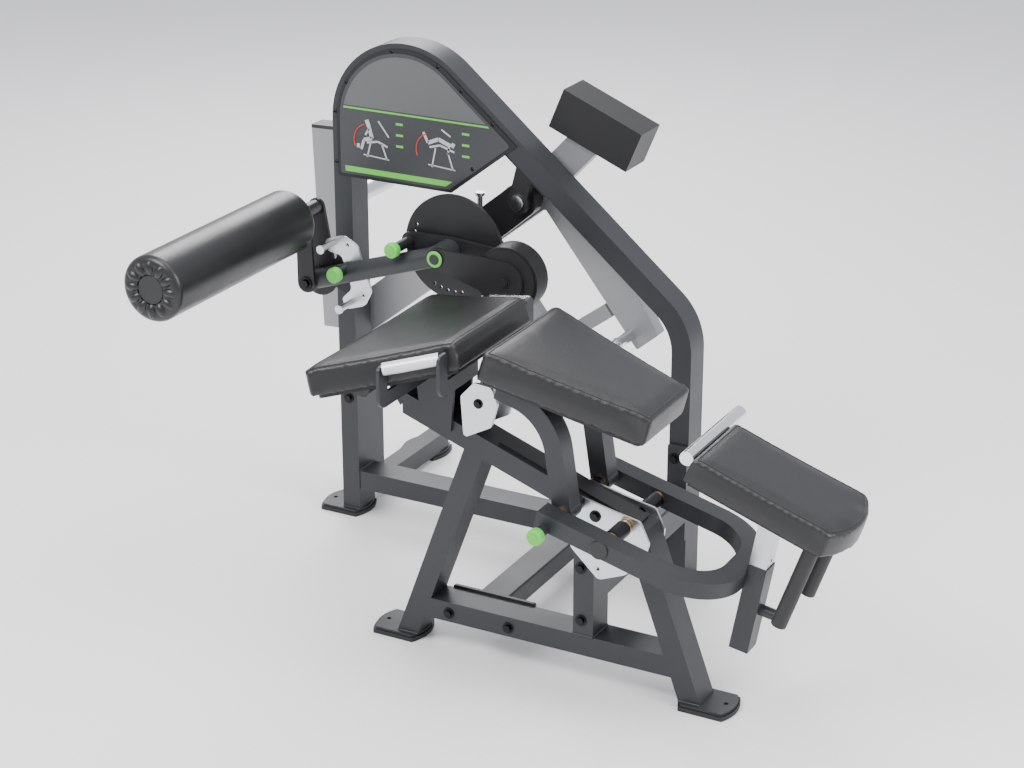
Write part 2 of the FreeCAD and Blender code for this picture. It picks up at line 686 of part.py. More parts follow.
def drive_crank():
    """The crank on the shaft's far end, with its link pin."""
    arm = strap(LEVER_AXIS, CRANK_HUB_RADIUS, CRANK_PIN, CRANK_TIP_RADIUS, CRANK_Y, CRANK_THICK)
    pin = rod(CRANK_PIN, LINK_PIN_RADIUS, CRANK_Y, CRANK_THICK + LINK_THICK + PIN_STAND_OUT)
    return joined([arm, pin])


def drive_link():
    """The parallel link between the crank and the weight arm."""
    link = strap(CRANK_PIN, LINK_EYE_RADIUS, ARM_PIN, LINK_EYE_RADIUS, LINK_Y, LINK_THICK)
    link = link.cut(rod(CRANK_PIN, LINK_PIN_RADIUS + FIT, LINK_Y - 1, LINK_THICK + 2))
    return link.cut(rod(ARM_PIN, LINK_PIN_RADIUS + OPEN_PIVOT_GAP, LINK_Y - 1, LINK_THICK + 2))


# ---------------------------------------------------------------- lever
LEVER_DIRECTION = bearing(ROLLER_ARM_AXIS, LEVER_AXIS)
START_PIN = polar(LEVER_AXIS, DISC_HOLE_CIRCLE, START_PIN_ANGLE)
BAR_THICK = 12.0
LEVER_HUB_RADIUS = 30.0
PIN_RADIUS = DISC_HOLE / 2 - FIT
BARREL_RADIUS = 13.0
KNOB_RADIUS = 19.0
KNOB_LENGTH = 22.0
ADJUST_RADIUS = 107.4
ADJUST_ANGLE = 24.2
ADJUST_PIN = polar(ROLLER_ARM_AXIS, ADJUST_RADIUS, ADJUST_ANGLE)
TUBE_END_HUB = 26.0
BOLT_RADIUS = 9.0
NEAR_LINK_EYE = 25.0
START_EYE = 22.0
KNEE_EYE = 32.0
DRUM_EYE = 48.0
LEVER_TUBE_WALL = 4.0
DRUM_FLANGE_THICK = 6.0
PEG_PLATE_Y = -166.8
PEG_PLATE_THICK = 6.0
# along the lever tube, across it, corner radius
PEG_PLATE_CORNERS = ((60, -92, 14), (118, -92, 22), (150, -60, 22), (150, 60, 22), (118, 92, 22),
                     (60, 92, 14), (60, 62, 10), (96, 44, 16), (96, -44, 16), (60, -62, 10))
PEG_SPOT = (81.0, 77.5)
PEG_RADIUS = 8.0
PEG_HEAD = (11.0, 5.0)              # radius, length
PEG_PLATE_HOLE = (122.0, 66.0, 5.0)     # along, across, radius


def lever_near_link():
    plate = strap(LEVER_AXIS, NEAR_LINK_EYE, DRUM_CENTRE, DRUM_EYE, LINK_PLATE_Y, LINK_PLATE_THICK)
    return plate.cut(rod(LEVER_AXIS, DRIVE_SHAFT_RADIUS + FIT, LINK_PLATE_Y - 1, LINK_PLATE_THICK + 2))


def lever_far_bar():
    left = strap(START_PIN, START_EYE, LEVER_AXIS, KNEE_EYE, FAR_BAR_Y, BAR_THICK)
    right = strap(LEVER_AXIS, KNEE_EYE, DRUM_CENTRE, DRUM_EYE, FAR_BAR_Y, BAR_THICK)
    bar = joined([left, right])
    bar = bar.cut(rod(LEVER_AXIS, DRIVE_SHAFT_RADIUS + FIT, FAR_BAR_Y - 1, BAR_THICK + 2))
    return bar.cut(rod(START_PIN, PIN_RADIUS + FIT, FAR_BAR_Y - 1, BAR_THICK + 2))


def lever_tube():
    """The round tube from the knee hub out to the roller arm's pivot."""
    start = Vec(ROLLER_ARM_AXIS[0], LEVER_TUBE_Y, ROLLER_ARM_AXIS[1])
    end = Vec(LEVER_AXIS[0], LEVER_TUBE_Y, LEVER_AXIS[1])
    tube = round_bar(start, end, LEVER_TUBE_RADIUS)
    tube = tube.cut(round_bar(start, end, LEVER_TUBE_RADIUS - LEVER_TUBE_WALL))
    near_side = LINK_PLATE_Y + LINK_PLATE_THICK
    hub = rod(LEVER_AXIS, LEVER_HUB_RADIUS, near_side, FAR_BAR_Y - near_side)
    near_arm = NEAR_ARM_Y + ARM_PLATE_THICK + SIDE_GAP
    end_hub = rod(ROLLER_ARM_AXIS, TUBE_END_HUB, near_arm, FAR_ARM_Y - SIDE_GAP - near_arm)
    body = joined([tube, hub, end_hub])
    body = body.cut(rod(LEVER_AXIS, DRIVE_SHAFT_RADIUS + FIT, NEAR_ARM_Y, THROUGH))
    body = body.cut(rod(ROLLER_ARM_AXIS, BOLT_RADIUS + FIT, NEAR_ARM_Y, THROUGH))
    body = body.cut(rod(ADJUST_PIN, BARREL_RADIUS, NEAR_ARM_Y - 40, THROUGH))
    return body.cut(strap(LEVER_AXIS, NEAR_LINK_EYE, DRUM_CENTRE, DRUM_EYE, LINK_PLATE_Y, LINK_PLATE_THICK))


def counterweight_drum():
    """The round balance weight between the link plate and the far bar."""
    front = LINK_PLATE_Y + LINK_PLATE_THICK
    flange = rod(DRUM_CENTRE, DRUM_FLANGE, front, DRUM_FLANGE_THICK)
    front += DRUM_FLANGE_THICK
    body = rod(DRUM_CENTRE, DRUM_RADIUS, front, FAR_BAR_Y - front)
    return joined([flange, body])


def peg_plate():
    """The bright C-shaped plate across the lever tube, with its two band pegs."""
    def at(along, across):
        base = polar(ROLLER_ARM_AXIS, along, LEVER_DIRECTION)
        return polar(base, across, LEVER_DIRECTION + 90)

    corners = [at(along, across) + (radius,) for along, across, radius in PEG_PLATE_CORNERS]
    body = side_plate(corners, PEG_PLATE_Y, PEG_PLATE_THICK)
    hole_along, hole_across, hole_radius = PEG_PLATE_HOLE
    peg_along, peg_across = PEG_SPOT
    head_radius, head_length = PEG_HEAD
    for side in (-1, 1):
        hole = at(hole_along, side * hole_across)
        body = body.cut(rod(hole, hole_radius, PEG_PLATE_Y - 1, PEG_PLATE_THICK + 2))
        spot = at(peg_along, side * peg_across)
        peg_near = PEG_PLATE_Y - PEG_LENGTH
        body = joined([body, rod(spot, PEG_RADIUS, peg_near, PEG_LENGTH),
                       rod(spot, head_radius, peg_near, head_length)])
    start = polar(ROLLER_ARM_AXIS, 10, LEVER_DIRECTION)
    inner = round_bar(Vec(start[0], LEVER_TUBE_Y, start[1]),
                      Vec(LEVER_AXIS[0], LEVER_TUBE_Y, LEVER_AXIS[1]), LEVER_TUBE_RADIUS)
    body = body.cut(inner)
    return body.cut(rod(ADJUST_PIN, BARREL_RADIUS + 1, NEAR_ARM_Y - 40, THROUGH))


def pin_barrel(axis, near, length):
    """A threaded barrel for a pull pin."""
    return ring(axis, BARREL_RADIUS, PIN_RADIUS + FIT, near, length)


def pull_pin(axis, barrel_near, tip):
    """A pull pin with its knob just in front of the barrel."""
    knob_near = barrel_near - SIDE_GAP - KNOB_LENGTH
    knob = rod(axis, KNOB_RADIUS, knob_near, KNOB_LENGTH)
    knob = knob.makeFillet(5.0, [knob.Edges[0], knob.Edges[2]])
    stem = rod(axis, PIN_RADIUS, knob_near + 2, tip - knob_near - 2)
    return joined([knob, stem])


START_BARREL_Y = FAR_BAR_Y - 71.0
ADJUST_BARREL_Y = LEVER_TUBE_Y - LEVER_TUBE_RADIUS - 20.0


# ---------------------------------------------------------------- roller arm and roller
ADJUST_TURNS = (-10.0, 0.0, 11.7, 23.3, 35.0)
NEAR_ARM_EYES = (20.0, 24.0)        # at the roller, at the pivot
FAR_ARM_EYES = (22.0, 50.0)
SECTOR_RADII = (40.0, 124.0)
SECTOR_ANGLES = (-24.0, 48.0)
PIVOT_WASHER = (17.0, 3.0)          # radius, thickness
PIVOT_HEX_RADIUS = 11.0
ROLLER_ROUND = 16.0
RECESS_RADIUS = 36.0
RECESS_DEPTH = 8.0
END_CAP_RADIUS = 34.0
END_CAP_THICK = 7.0
AXLE_INSET = 12.0                   # axle end behind the roller's near face


def roller_arm_plates():
    """The near strap and the far plate with its adjuster sector."""
    near = strap(ROLLER_AXIS, NEAR_ARM_EYES[0], ROLLER_ARM_AXIS, NEAR_ARM_EYES[1], NEAR_ARM_Y,
                 ARM_PLATE_THICK)
    far = strap(ROLLER_AXIS, FAR_ARM_EYES[0], ROLLER_ARM_AXIS, FAR_ARM_EYES[1], FAR_ARM_Y, ARM_PLATE_THICK)
    inner, outer = SECTOR_RADII
    low, high = SECTOR_ANGLES

    def at(radius, angle):
        spot = polar(ROLLER_ARM_AXIS, radius, angle)
        return Vec(spot[0], FAR_ARM_Y, spot[1])

    middle = (low + high) / 2
    edges = [Part.Arc(at(outer, low), at(outer, middle), at(outer, high)).toShape(),
             Part.LineSegment(at(outer, high), at(inner, high)).toShape(),
             Part.Arc(at(inner, high), at(inner, middle), at(inner, low)).toShape(),
             Part.LineSegment(at(inner, low), at(outer, low)).toShape()]
    sector = Part.Face(Part.Wire(edges)).extrude(Vec(0, ARM_PLATE_THICK, 0))
    far = joined([far, sector])
    for change in ADJUST_TURNS:
        spot = polar(ROLLER_ARM_AXIS, ADJUST_RADIUS, ADJUST_ANGLE - change)
        far = far.cut(rod(spot, PIN_RADIUS + FIT, FAR_ARM_Y - 1, ARM_PLATE_THICK + 2))
    pieces = []
    for plate in (near, far):
        for axis, radius in ((ROLLER_ARM_AXIS, BOLT_RADIUS), (ROLLER_AXIS, ROLLER_AXLE_RADIUS)):
            plate = plate.cut(rod(axis, radius, NEAR_ARM_Y - 1, THROUGH))
        pieces.append(plate)
    return group(pieces)


def roller_arm_pivot():
    """The pivot bolt with its broad washer."""
    length = FAR_ARM_Y + ARM_PLATE_THICK - NEAR_ARM_Y
    stem = rod(ROLLER_ARM_AXIS, BOLT_RADIUS, NEAR_ARM_Y, length)
    washer_radius, washer_thick = PIVOT_WASHER
    washer_near = NEAR_ARM_Y - washer_thick
    washer = rod(ROLLER_ARM_AXIS, washer_radius, washer_near, washer_thick)
    return joined([stem, washer, hex_bolt(ROLLER_ARM_AXIS, washer_near, PIVOT_HEX_RADIUS)])


def roller_axle():
    end = FAR_ARM_Y + ARM_PLATE_THICK
    return rod(ROLLER_AXIS, ROLLER_AXLE_RADIUS, ROLLER_NEAR_Y + AXLE_INSET, end - ROLLER_NEAR_Y - AXLE_INSET)


def roller_foam():
    """The foam roll, with a deep scalloped recess around its near end cap."""
    length = ROLLER_FAR_Y - ROLLER_NEAR_Y
    foam = rod(ROLLER_AXIS, ROLLER_RADIUS, ROLLER_NEAR_Y, length)
    foam = foam.makeFillet(ROLLER_ROUND, [foam.Edges[0], foam.Edges[2]])
    foam = foam.cut(rod(ROLLER_AXIS, ROLLER_AXLE_RADIUS + FIT, ROLLER_NEAR_Y - 1, length + 2))
    return foam.cut(rod(ROLLER_AXIS, RECESS_RADIUS, ROLLER_NEAR_Y - 1, RECESS_DEPTH + 1))


def roller_end_cap():
    """The plastic cap that closes the roller's near end."""
    cap = rod(ROLLER_AXIS, END_CAP_RADIUS, ROLLER_NEAR_Y + 1, END_CAP_THICK)
    return cap.makeFillet(2.0, [cap.Edges[2]])


# ---------------------------------------------------------------- weight arm
BOX_NEAR = ARCH_BACK + 2.0
ARM_DEPTH = 50.8
LEFT_BAR_ANGLE = 39.0
LEFT_BAR_FACE = 94.0
LEFT_BAR_LENGTH = 715.0
COLUMN_ANGLE = 92.1
COLUMN_FOOT = (COLUMN_X + 15 + COLUMN_FACE / 2, COLUMN_BOTTOM - 70)
COLUMN_HEAD = polar(COLUMN_FOOT, COLUMN_TOP - COLUMN_FOOT[1], COLUMN_ANGLE)
COLUMN_CAP_THICK = 9.0
FRONT_ARM_DEPTH = 40.0
FRONT_ARM_TIP = ((771.5, 569.0, 6), (827.5, 616.0, 6), (757.5, 731.0, 10))
STRUT_END = (690.5, 656.0)
STRUT_ANGLE = 36.7
STRUT_LENGTH = 190.0
STRUT_FACE = 36.0
NECK_WIDTH = 78.0
ARM_HUB_RADIUS = 40.0
FRONT_STUB = (752.5, 605.0)
FRONT_STUB_LENGTH = 95.0
HORN_AXIS = (COLUMN_X + 45, 800.0)
HORN_RADIUS = 24.0
HORN_BORE = 20.0
HORN_LENGTH = 230.0
HORN_FLANGE = (52.0, 8.0)           # radius, thickness


def weight_arm():
    """The welded arm behind the arch: column, cross bar, front arm and strut on one hub."""
    y_mid = WEIGHT_ARM_Y + ARM_DEPTH / 2
    column = hollow_band([COLUMN_FOOT, COLUMN_HEAD], [], COLUMN_FACE, y_mid, ARM_DEPTH, TUBE_WALL)
    bar_far = polar(ARM_AXIS, LEFT_BAR_LENGTH, 180 + LEFT_BAR_ANGLE)
    bar = hollow_band([ARM_AXIS, bar_far], [], LEFT_BAR_FACE, y_mid, ARM_DEPTH, TUBE_WALL)
    corners = [polar(ARM_AXIS, 52, 133 - 180) + (0,)] + list(FRONT_ARM_TIP)
    corners += [polar(ARM_AXIS, 66, 40) + (20,), polar(ARM_AXIS, 50, 130) + (20,),
                polar(ARM_AXIS, 50, 220) + (20,)]
    front = side_plate(corners, WEIGHT_ARM_Y, FRONT_ARM_DEPTH)
    strut_bend = polar(STRUT_END, STRUT_LENGTH, 180 + STRUT_ANGLE)
    strut_root = polar(ARM_AXIS, STRUT_LENGTH, 180 + LEFT_BAR_ANGLE)
    front_mid = WEIGHT_ARM_Y + FRONT_ARM_DEPTH / 2
    strut = band([STRUT_END, strut_bend, strut_root], [60], STRUT_FACE, front_mid, 30)
    neck = band([ARM_AXIS, BOX_CENTRE], [], NECK_WIDTH, front_mid, FRONT_ARM_DEPTH)
    hub = rod(ARM_AXIS, ARM_HUB_RADIUS, WEIGHT_ARM_Y, ARM_DEPTH + 4)
    pin = rod(ARM_PIN, LINK_PIN_RADIUS, LINK_Y - 0.5, WEIGHT_ARM_Y - LINK_Y + 10)
    lug = strap(ARM_AXIS, ARM_HUB_RADIUS, ARM_PIN, CRANK_TIP_RADIUS + 1, WEIGHT_ARM_Y, 12)
    body = joined([column, bar, front, strut, neck, hub, lug, pin])
    body = body.cut(weight_box_block())
    return body.cut(rod(ARM_AXIS, DRIVE_SHAFT_RADIUS, WEIGHT_ARM_Y - 1, THROUGH))


def weight_box_block():
    half_l = BOX_LENGTH / 2
    half_h = BOX_HEIGHT / 2
    block = box(BOX_CENTRE[0] - half_l, BOX_CENTRE[0] + half_l, BOX_NEAR, BOX_NEAR + BOX_DEPTH,
                BOX_CENTRE[1] - half_h, BOX_CENTRE[1] + half_h)
    return turned(block, BOX_CENTRE, -BOX_ANGLE)


def weight_arm_shaft():
    near = BLOCK_FRONT - 6
    return rod(ARM_AXIS, DRIVE_SHAFT_RADIUS, near, WEIGHT_ARM_Y + ARM_DEPTH - near)


def front_arm_stub():
    """The short cross pin near the front arm's tip, with its bronze collar."""
    near = WEIGHT_ARM_Y - FRONT_STUB_LENGTH
    return joined([rod(FRONT_STUB, 14, near, FRONT_STUB_LENGTH), rod(FRONT_STUB, 17, near + 8, 14)])


def column_cap():
    """The plastic plug on top of the column."""
    top = polar(COLUMN_HEAD, COLUMN_CAP_THICK, COLUMN_ANGLE)
    return band([COLUMN_HEAD, top], [], COLUMN_FACE, WEIGHT_ARM_Y + ARM_DEPTH / 2, ARM_DEPTH)


def weight_horn():
    """The loading horn for disc weights, on the column's far side."""
    start = WEIGHT_ARM_Y + ARM_DEPTH
    flange_radius, flange_thick = HORN_FLANGE
    horn = ring(HORN_AXIS, HORN_RADIUS, HORN_BORE, start, HORN_LENGTH)
    flange = ring(HORN_AXIS, flange_radius, HORN_BORE, start, flange_thick)
    return joined([horn, flange, rod(HORN_AXIS, HORN_RADIUS, start + HORN_LENGTH, 6)])


# ---------------------------------------------------------------- cushions
def cushion_shape(corners, thickness):
    """A pad in its own frame: top face at zero height, outline in its own plane."""
    return outline(corners, "xy", -thickness).extrude(Vec(0, 0, thickness))


def placed(shape, origin, angle, y_middle=SPINE_Y):
    """A shape built flat about (0, 0), tilted by an angle and moved to its place."""
    copy = shape.copy()
    copy.rotate(Vec(0, 0, 0), Vec(0, -1, 0), angle)
    copy.translate(Vec(origin[0], y_middle, origin[1]))
    return copy


SEAT_ORIGIN = (368.5, 744.0)        # top edge at the knee end
SEAT_ANGLE = 14.7
SEAT_LENGTH = 332.0
SEAT_WIDE = 583.0
SEAT_NARROW = 342.0
SEAT_THICK = 68.0
BENCH_ORIGIN = (756.5, 822.0)       # top edge at the seat end
BENCH_ANGLE = -16.6
BENCH_LENGTH = 392.0
BENCH_WIDE = 354.0
BENCH_NARROW = 216.0
BENCH_THICK = 75.0
HEAD_ORIGIN = (1228.0, 648.0)       # top edge at the bench end
HEAD_ANGLE = -19.0
HEAD_LENGTH = 372.0
HEAD_WIDTH = 236.0
HEAD_BULGE = 36.0
HEAD_THICK = 66.0


def tapered_pad(length, near_width, far_width, thickness, radius, inset):
    """A trapezoid pad or board, with the near width at its origin."""
    taper = inset * (near_width - far_width) / 2 / length
    near_half = near_width / 2 - inset - taper
    far_half = far_width / 2 - inset + taper
    corners = [(inset, -near_half, radius), (length - inset, -far_half, radius),
               (length - inset, far_half, radius), (inset, near_half, radius)]
    return cushion_shape(corners, thickness)


def round_ended_pad(length, width, bulge, thickness, inset):
    """A pad with square corners at its origin and a bowed far end."""
    half = width / 2 - inset
    near = Vec(inset, -half, -thickness)
    side = Vec(length - inset - bulge, -half, -thickness)
    side_up = Vec(length - inset - bulge, half, -thickness)
    near_up = Vec(inset, half, -thickness)
    edges = [Part.LineSegment(near, side).toShape(),
             Part.Arc(side, Vec(length - inset, 0, -thickness), side_up).toShape(),
             Part.LineSegment(side_up, near_up).toShape(), Part.LineSegment(near_up, near).toShape()]
    return Part.Face(Part.Wire(edges)).extrude(Vec(0, 0, thickness))


def seat_pieces():
    foam = tapered_pad(SEAT_LENGTH, SEAT_WIDE, SEAT_NARROW, SEAT_THICK - CUSHION_BOARD, PAD_EDGE, 0)
    board = tapered_pad(SEAT_LENGTH, SEAT_WIDE, SEAT_NARROW, CUSHION_BOARD, PAD_EDGE, BOARD_INSET)
    board.translate(Vec(0, 0, CUSHION_BOARD - SEAT_THICK))
    return placed(foam, SEAT_ORIGIN, SEAT_ANGLE), placed(board, SEAT_ORIGIN, SEAT_ANGLE)


def bench_pieces():
    foam = tapered_pad(BENCH_LENGTH, BENCH_WIDE, BENCH_NARROW, BENCH_THICK - CUSHION_BOARD, PAD_EDGE, 0)
    board = tapered_pad(BENCH_LENGTH, BENCH_WIDE, BENCH_NARROW, CUSHION_BOARD, PAD_EDGE, BOARD_INSET)
    board.translate(Vec(0, 0, CUSHION_BOARD - BENCH_THICK))
    return placed(foam, BENCH_ORIGIN, BENCH_ANGLE), placed(board, BENCH_ORIGIN, BENCH_ANGLE)


def head_pieces():
    foam = round_ended_pad(HEAD_LENGTH, HEAD_WIDTH, HEAD_BULGE, HEAD_THICK - CUSHION_BOARD, 0)
    board = round_ended_pad(HEAD_LENGTH, HEAD_WIDTH, HEAD_BULGE, CUSHION_BOARD, BOARD_INSET)
    board.translate(Vec(0, 0, CUSHION_BOARD - HEAD_THICK))
    return placed(foam, HEAD_ORIGIN, HEAD_ANGLE), placed(board, HEAD_ORIGIN, HEAD_ANGLE)


def under_pad(origin, angle, thickness, x, drop=0.0):
    """A point on a pad's underside at x, lowered square to it."""
    start = polar(origin, thickness + drop, angle - 90)
    return meet(start, angle, (x, 0), 90)


# ---------------------------------------------------------------- seat and bench supports
BRACKET_THICK = 8.0
PLATE_INNER = HALF_DEPTH            # plates lie on the beam's faces
SEAT_PLATE_THICK = 6.0
BRACKET_FOOT_X = (540.0, 618.0)     # on the beam
BRACKET_HEAD_X = (516.0, 622.0)     # under the seat's board
SEAT_PLATE_X = (500.0, 684.0)
SEAT_PLATE_OVERHANG = 60.0
BRACKET_DROP = -30.0                # onto the beam's side face


def seat_bracket():
    """Two folded side plates from the beam up to the seat board, with a top plate."""
    def under_seat(x):
        return under_pad(SEAT_ORIGIN, SEAT_ANGLE, SEAT_THICK, x, SEAT_PLATE_THICK)

    corners = [on_beam(BRACKET_FOOT_X[0], BRACKET_DROP) + (8,),
               on_beam(BRACKET_FOOT_X[1], BRACKET_DROP) + (8,),
               under_seat(BRACKET_HEAD_X[1]) + (0,), under_seat(BRACKET_HEAD_X[0]) + (0,)]
    pieces = []
    for level in (SPINE_Y - PLATE_INNER - BRACKET_THICK, SPINE_Y + PLATE_INNER):
        pieces.append(side_plate(corners, level, BRACKET_THICK))
    left = under_seat(SEAT_PLATE_X[0])
    right = under_seat(SEAT_PLATE_X[1])
    top = [left + (0,), right + (0,), polar(right, SEAT_PLATE_THICK, SEAT_ANGLE + 90) + (0,),
           polar(left, SEAT_PLATE_THICK, SEAT_ANGLE + 90) + (0,)]
    half = PLATE_INNER + SEAT_PLATE_OVERHANG
    pieces.append(side_plate(top, SPINE_Y - half, 2 * half))
    return joined(pieces)


HANDLE_STATIONS = (552.0, 676.0)
GRIP_RADIUS = 14.5
GRIP_CLEAR = 26.0
GRIP_DEPTH = 34.0                   # below the seat's top face
GRIP_RISE = 14.0
HOOK_BAR_WIDTH = 8.0
HOOK_DROP = 34.0
HOOK_OUT = 17.0


def seat_half_width(x):
    share = (x - SEAT_ORIGIN[0]) / cos(radians(SEAT_ANGLE)) / SEAT_LENGTH
    return (SEAT_WIDE - share * (SEAT_WIDE - SEAT_NARROW)) / 2


def grip_end(x, side):
    """The middle of a seat grip at x, on the near (-1) or the far (1) side."""
    level = meet(polar(SEAT_ORIGIN, GRIP_DEPTH, SEAT_ANGLE - 90), SEAT_ANGLE, (x, 0), 90)[1]
    return Vec(x, SPINE_Y + side * (seat_half_width(x) + GRIP_CLEAR), level + GRIP_RISE)


def handle_brackets():
    """Four hooked flat bars that hold the seat grips."""
    bars = []
    for side in (-1, 1):
        for x in HANDLE_STATIONS:
            left = x - HOOK_BAR_WIDTH / 2
            level = under_pad(SEAT_ORIGIN, SEAT_ANGLE, SEAT_THICK, left, SEAT_PLATE_THICK)[1]
            end = grip_end(x, side)
            root = SPINE_Y + side * (PLATE_INNER + BRACKET_THICK)
            inner = SPINE_Y + side * (seat_half_width(x) + 8)
            outer = end.y + side * HOOK_OUT
            corners = [(root, level, 0), (inner, level, 0), (inner, end.z + 9, 4), (outer, end.z + 9, 12),
                       (outer, level - HOOK_DROP, 26), (root, level - HOOK_DROP, 0)]
            bars.append(outline(corners, "yz", left).extrude(Vec(HOOK_BAR_WIDTH, 0, 0)))
    return bars


def seat_grips():
    """Knurled bright grips between the hooked bars."""
    grips = []
    for side in (-1, 1):
        start = grip_end(HANDLE_STATIONS[0] + HOOK_BAR_WIDTH / 2, side)
        end = grip_end(HANDLE_STATIONS[1] - HOOK_BAR_WIDTH / 2, side)
        grips.append(round_bar(start, end, GRIP_RADIUS))
    return grips


BUMPER_X = 440.0
BUMPER_DROP = 22.0
BUMPER_RADIUS = 20.0
BUMPER_HALF = 150.0
BUMPER_ROOT = (492.0, -25.0)        # on the beam


def knee_bumper():
    """The black plug on the front end of the beam, under the seat."""
    left = under_pad(SEAT_ORIGIN, SEAT_ANGLE, SEAT_THICK, BUMPER_X, BUMPER_DROP)
    tube = rod(left, BUMPER_RADIUS, SPINE_Y - BUMPER_HALF, 2 * BUMPER_HALF)
    arm = band([left, on_beam(*BUMPER_ROOT)], [], 2 * BUMPER_RADIUS, SPINE_Y, 60)
    return joined([tube, arm.cut(spine_beam_block())])


def spine_beam_block():
    return side_plate(beam_corners(), SPINE_FRONT, TUBE_DEPTH)


BENCH_PIVOT = (927.5, 456.0)
BENCH_SHAFT_RADIUS = 12.0
BENCH_ARM_Y = 94.5
BENCH_ARM_DEPTH = 50.8
BENCH_ARM_FACE = 44.0
BENCH_ARM_X = (764.0, 893.0)        # under the bench: front end, bend
BENCH_ARM_BEND = 135.0
BENCH_EYE_RADIUS = 24.0


def bench_frame():
    """Two curved tubes that carry the bench from its cross shaft."""
    start = under_pad(BENCH_ORIGIN, BENCH_ANGLE, BENCH_THICK, BENCH_ARM_X[0], BENCH_ARM_FACE / 2)
    corner = under_pad(BENCH_ORIGIN, BENCH_ANGLE, BENCH_THICK, BENCH_ARM_X[1], BENCH_ARM_FACE / 2)
    arms = []
    for side in (-1, 1):
        y_mid = SPINE_Y + side * BENCH_ARM_Y
        arm = band([start, corner, BENCH_PIVOT], [BENCH_ARM_BEND], BENCH_ARM_FACE, y_mid, BENCH_ARM_DEPTH)
        eye = rod(BENCH_PIVOT, BENCH_EYE_RADIUS, y_mid - BENCH_ARM_DEPTH / 2, BENCH_ARM_DEPTH)
        arm = joined([arm, eye])
        arm = arm.cut(rod(REST_PIN, PIN_RADIUS + 4, y_mid - 40, 80))
        arms.append(arm.cut(rod(BENCH_PIVOT, BENCH_SHAFT_RADIUS, y_mid - 40, 80)))
    return arms


MOUNT_PLATE_CORNERS = ((634, 652, 10), (668, 690, 14), (712, 686, 14), (728, 646, 14), (712, 590, 10))
MOUNT_PLATE_FOOT = (648.0, -20.0)   # on the beam


def mount_plates():
    """Bright plates on both sides of the beam that brace the bench's front end."""
    corners = list(MOUNT_PLATE_CORNERS) + [on_beam(*MOUNT_PLATE_FOOT) + (8,)]
    pieces = []
    for level in (SPINE_Y - PLATE_INNER - BRACKET_THICK, SPINE_Y + PLATE_INNER):
        pieces.append(side_plate(corners, level, BRACKET_THICK))
    return pieces


PIVOT_PLATE_THICK = 6.0
PIVOT_PLATE_CORNERS = ((905, 476, 12), (1008.5, 452, 14), (1081.5, 438, 14), (1104, 392, 14),
                       (1100, 345, 12), (1046, 300, 40), (981.5, 274, 16), (912, 340, 16))
REST_HOLE_CIRCLE = 136.0
REST_HOLE_TURNS = (173.0, 241.0)    # the pin's place at hand-in, the lower hole in the plate


def pivot_plates():
    """Bright sector plates on both sides of the beam's front end."""
    low_hole = polar(LEG_REST_AXIS, REST_HOLE_CIRCLE, REST_HOLE_TURNS[1])
    pieces = []
    for level in (SPINE_Y - PLATE_INNER - PIVOT_PLATE_THICK, SPINE_Y + PLATE_INNER):
        plate = side_plate(list(PIVOT_PLATE_CORNERS), level, PIVOT_PLATE_THICK)
        for axis, radius in ((low_hole, PIN_RADIUS + FIT), (BENCH_PIVOT, BENCH_SHAFT_RADIUS),
                             (LEG_REST_AXIS, REST_SHAFT_RADIUS)):
            plate = plate.cut(rod(axis, radius, level - 1, PIVOT_PLATE_THICK + 2))
        pieces.append(plate)
    return pieces


REST_PIN = polar(LEG_REST_AXIS, REST_HOLE_CIRCLE, REST_HOLE_TURNS[0])
REST_SHAFT_RADIUS = 12.5
REST_ARM_INNER = 127.0
REST_ARM_DEPTH = 50.8
REST_ARM_FACE = 40.0
REST_LEFT = -160.0
REST_RIGHT = 264.0
REST_BEND = 118.0


def bench_shaft():
    """The cross shaft that carries the bench's arms, through beam and plates."""
    reach = REST_ARM_INNER - SIDE_GAP
    return rod(BENCH_PIVOT, BENCH_SHAFT_RADIUS, SPINE_Y - reach, 2 * reach)


def rest_stubs():
    """Two stub shafts, one on each pivot plate, for the leg rest's arms."""
    reach = REST_ARM_INNER + REST_ARM_DEPTH - PLATE_INNER
    return [rod(LEG_REST_AXIS, REST_SHAFT_RADIUS, SPINE_Y - PLATE_INNER - reach, reach),
            rod(LEG_REST_AXIS, REST_SHAFT_RADIUS, SPINE_Y + PLATE_INNER, reach)]


def spacer_rings(axis, bore, outer, first, last):
    """Rings on a cross shaft on both sides of the beam, from first to last off the middle plane."""
    length = last - first
    return [ring(axis, outer, bore, SPINE_Y - last, length), ring(axis, outer, bore, SPINE_Y + first, length)]


# ---------------------------------------------------------------- head rest frame
def flat_band(points, bends, width, z_mid, depth):
    """A bent bar that lies in its own XY plane."""
    upright = band(points, bends, width, 0, depth)
    upright.rotate(Vec(0, 0, 0), Vec(1, 0, 0), -90)
    upright.translate(Vec(0, 0, z_mid))
    return upright


def rest_frame():
    """The U-shaped tube that turns on the beam's front end."""
    y = REST_ARM_INNER + REST_ARM_DEPTH / 2
    route = [(REST_LEFT, -y), (REST_RIGHT, -y), (REST_RIGHT, y), (REST_LEFT, y)]
    bends = [REST_BEND, REST_BEND]
    outer = flat_band(route, bends, REST_ARM_DEPTH, 0, REST_ARM_FACE)
    inner = flat_band(route, bends, REST_ARM_DEPTH - 2 * TUBE_WALL, 0, REST_ARM_FACE - 2 * TUBE_WALL)
    tube = placed(outer.cut(inner), LEG_REST_AXIS, -HEAD_SLOPE)
    return tube.cut(rod(LEG_REST_AXIS, REST_SHAFT_RADIUS + FIT, SPINE_Y - 300, 600)).cut(sleeve_block())


